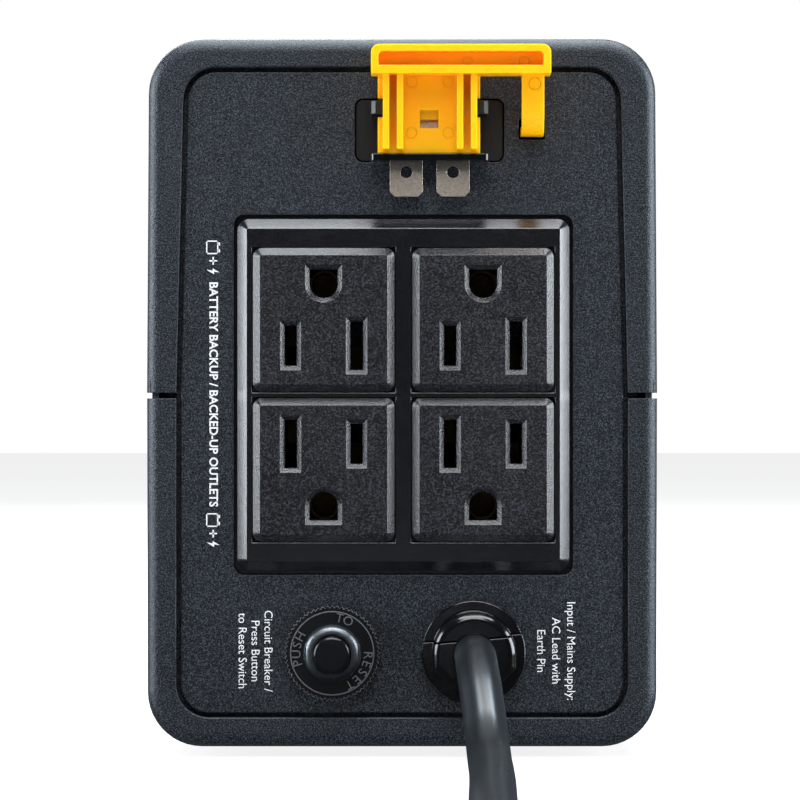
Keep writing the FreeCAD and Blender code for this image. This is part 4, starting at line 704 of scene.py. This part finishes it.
# ---------------------------------------------------------------- floor and light
def pale_floor(reach=4.0, tone=0.25, glow=0.85):
    """A pale, softly glowing floor all round the object. It isn't seen in the object's gloss."""
    finish = Finish("floor", (tone, tone, tone), 0.6)
    finish.paint(finish.spread(finish.noise(60, 3), 0, 0.1), (0.9 * tone, 0.92 * tone, 0.94 * tone))
    finish.relief(finish.noise(1.5, 3), 0.05, 0)
    finish.set(Emission_Strength=glow, Emission_Color=(1, 1, 1, 1))
    corners = [(-reach, -reach), (reach, -reach), (reach, reach), (-reach, reach)]
    floor = bpy.data.objects.new("floor", mesh_of("floor", lambda bm: bm.faces.new(
        [bm.verts.new((x, y, 0)) for x, y in corners])))
    scene.collection.objects.link(floor)
    floor.data.materials.append(finish.material)
    floor.visible_glossy = False
    return floor


def softbox(name, place, aim, size, radiance, tint=(1, 1, 1)):
    """A rectangular area light of an even radiance, turned towards a point."""
    data = bpy.data.lights.new(name, "AREA")
    data.shape, data.size, data.size_y = "RECTANGLE", *size
    data.energy = radiance * math.pi * size[0] * size[1]
    data.color = tint
    light = bpy.data.objects.new(name, data)
    scene.collection.objects.link(light)
    light.location = place
    light.rotation_euler = (Vector(aim) - Vector(place)).to_track_quat("-Z", "Y").to_euler()
    return light


def side_light(name, across, radiance):
    """One of two lights that shine across, past the rear, from its sides."""
    y, z = RIM + 0.12, 0.30
    return softbox(name, (across, y, z), (0, y, z), (0.9, 0.62), radiance, (0.88, 0.94, 1.0))


def studio_world(room_colour=(0.85, 0.93, 1.0, 1), room_strength=0.035):
    """A room that is dim for the object and plain white for the eye."""
    world = bpy.data.worlds.new("studio")
    world.use_nodes = True
    tree = world.node_tree
    room, bright = tree.nodes["Background"], tree.nodes.new("ShaderNodeBackground")
    for background, colour, strength in ((room, room_colour, room_strength), (bright, (1, 1, 1, 1), 1.0)):
        background.inputs["Color"].default_value = colour
        background.inputs["Strength"].default_value = strength
    choose, rays = tree.nodes.new("ShaderNodeMixShader"), tree.nodes.new("ShaderNodeLightPath")
    tree.links.new(rays.outputs["Is Camera Ray"], choose.inputs[0])
    tree.links.new(room.outputs[0], choose.inputs[1])
    tree.links.new(bright.outputs[0], choose.inputs[2])
    tree.links.new(choose.outputs[0], tree.nodes["World Output"].inputs["Surface"])
    return world


lights = [
    side_light("light_left", 0.95, 8.0),
    side_light("light_right", -0.95, 9.0),
    softbox("light_top", (-0.10, RIM - 0.12, 1.10), (-0.10, RIM - 0.12, 0), (1.1, 1.3), 6.5,
            (0.90, 0.95, 1.0)),
    softbox("light_camera", (0, RIM + 0.80, 0.90), (0, RIM, 0.07), (0.60, 0.70), 5.0),
    softbox("light_front", (0.35, FRONT - 1.0, 0.75), (0, FRONT, 0.07), (0.8, 0.8), 6.0),
]
scene.world = studio_world()
scene.view_settings.view_transform = "Standard"
pale_floor()
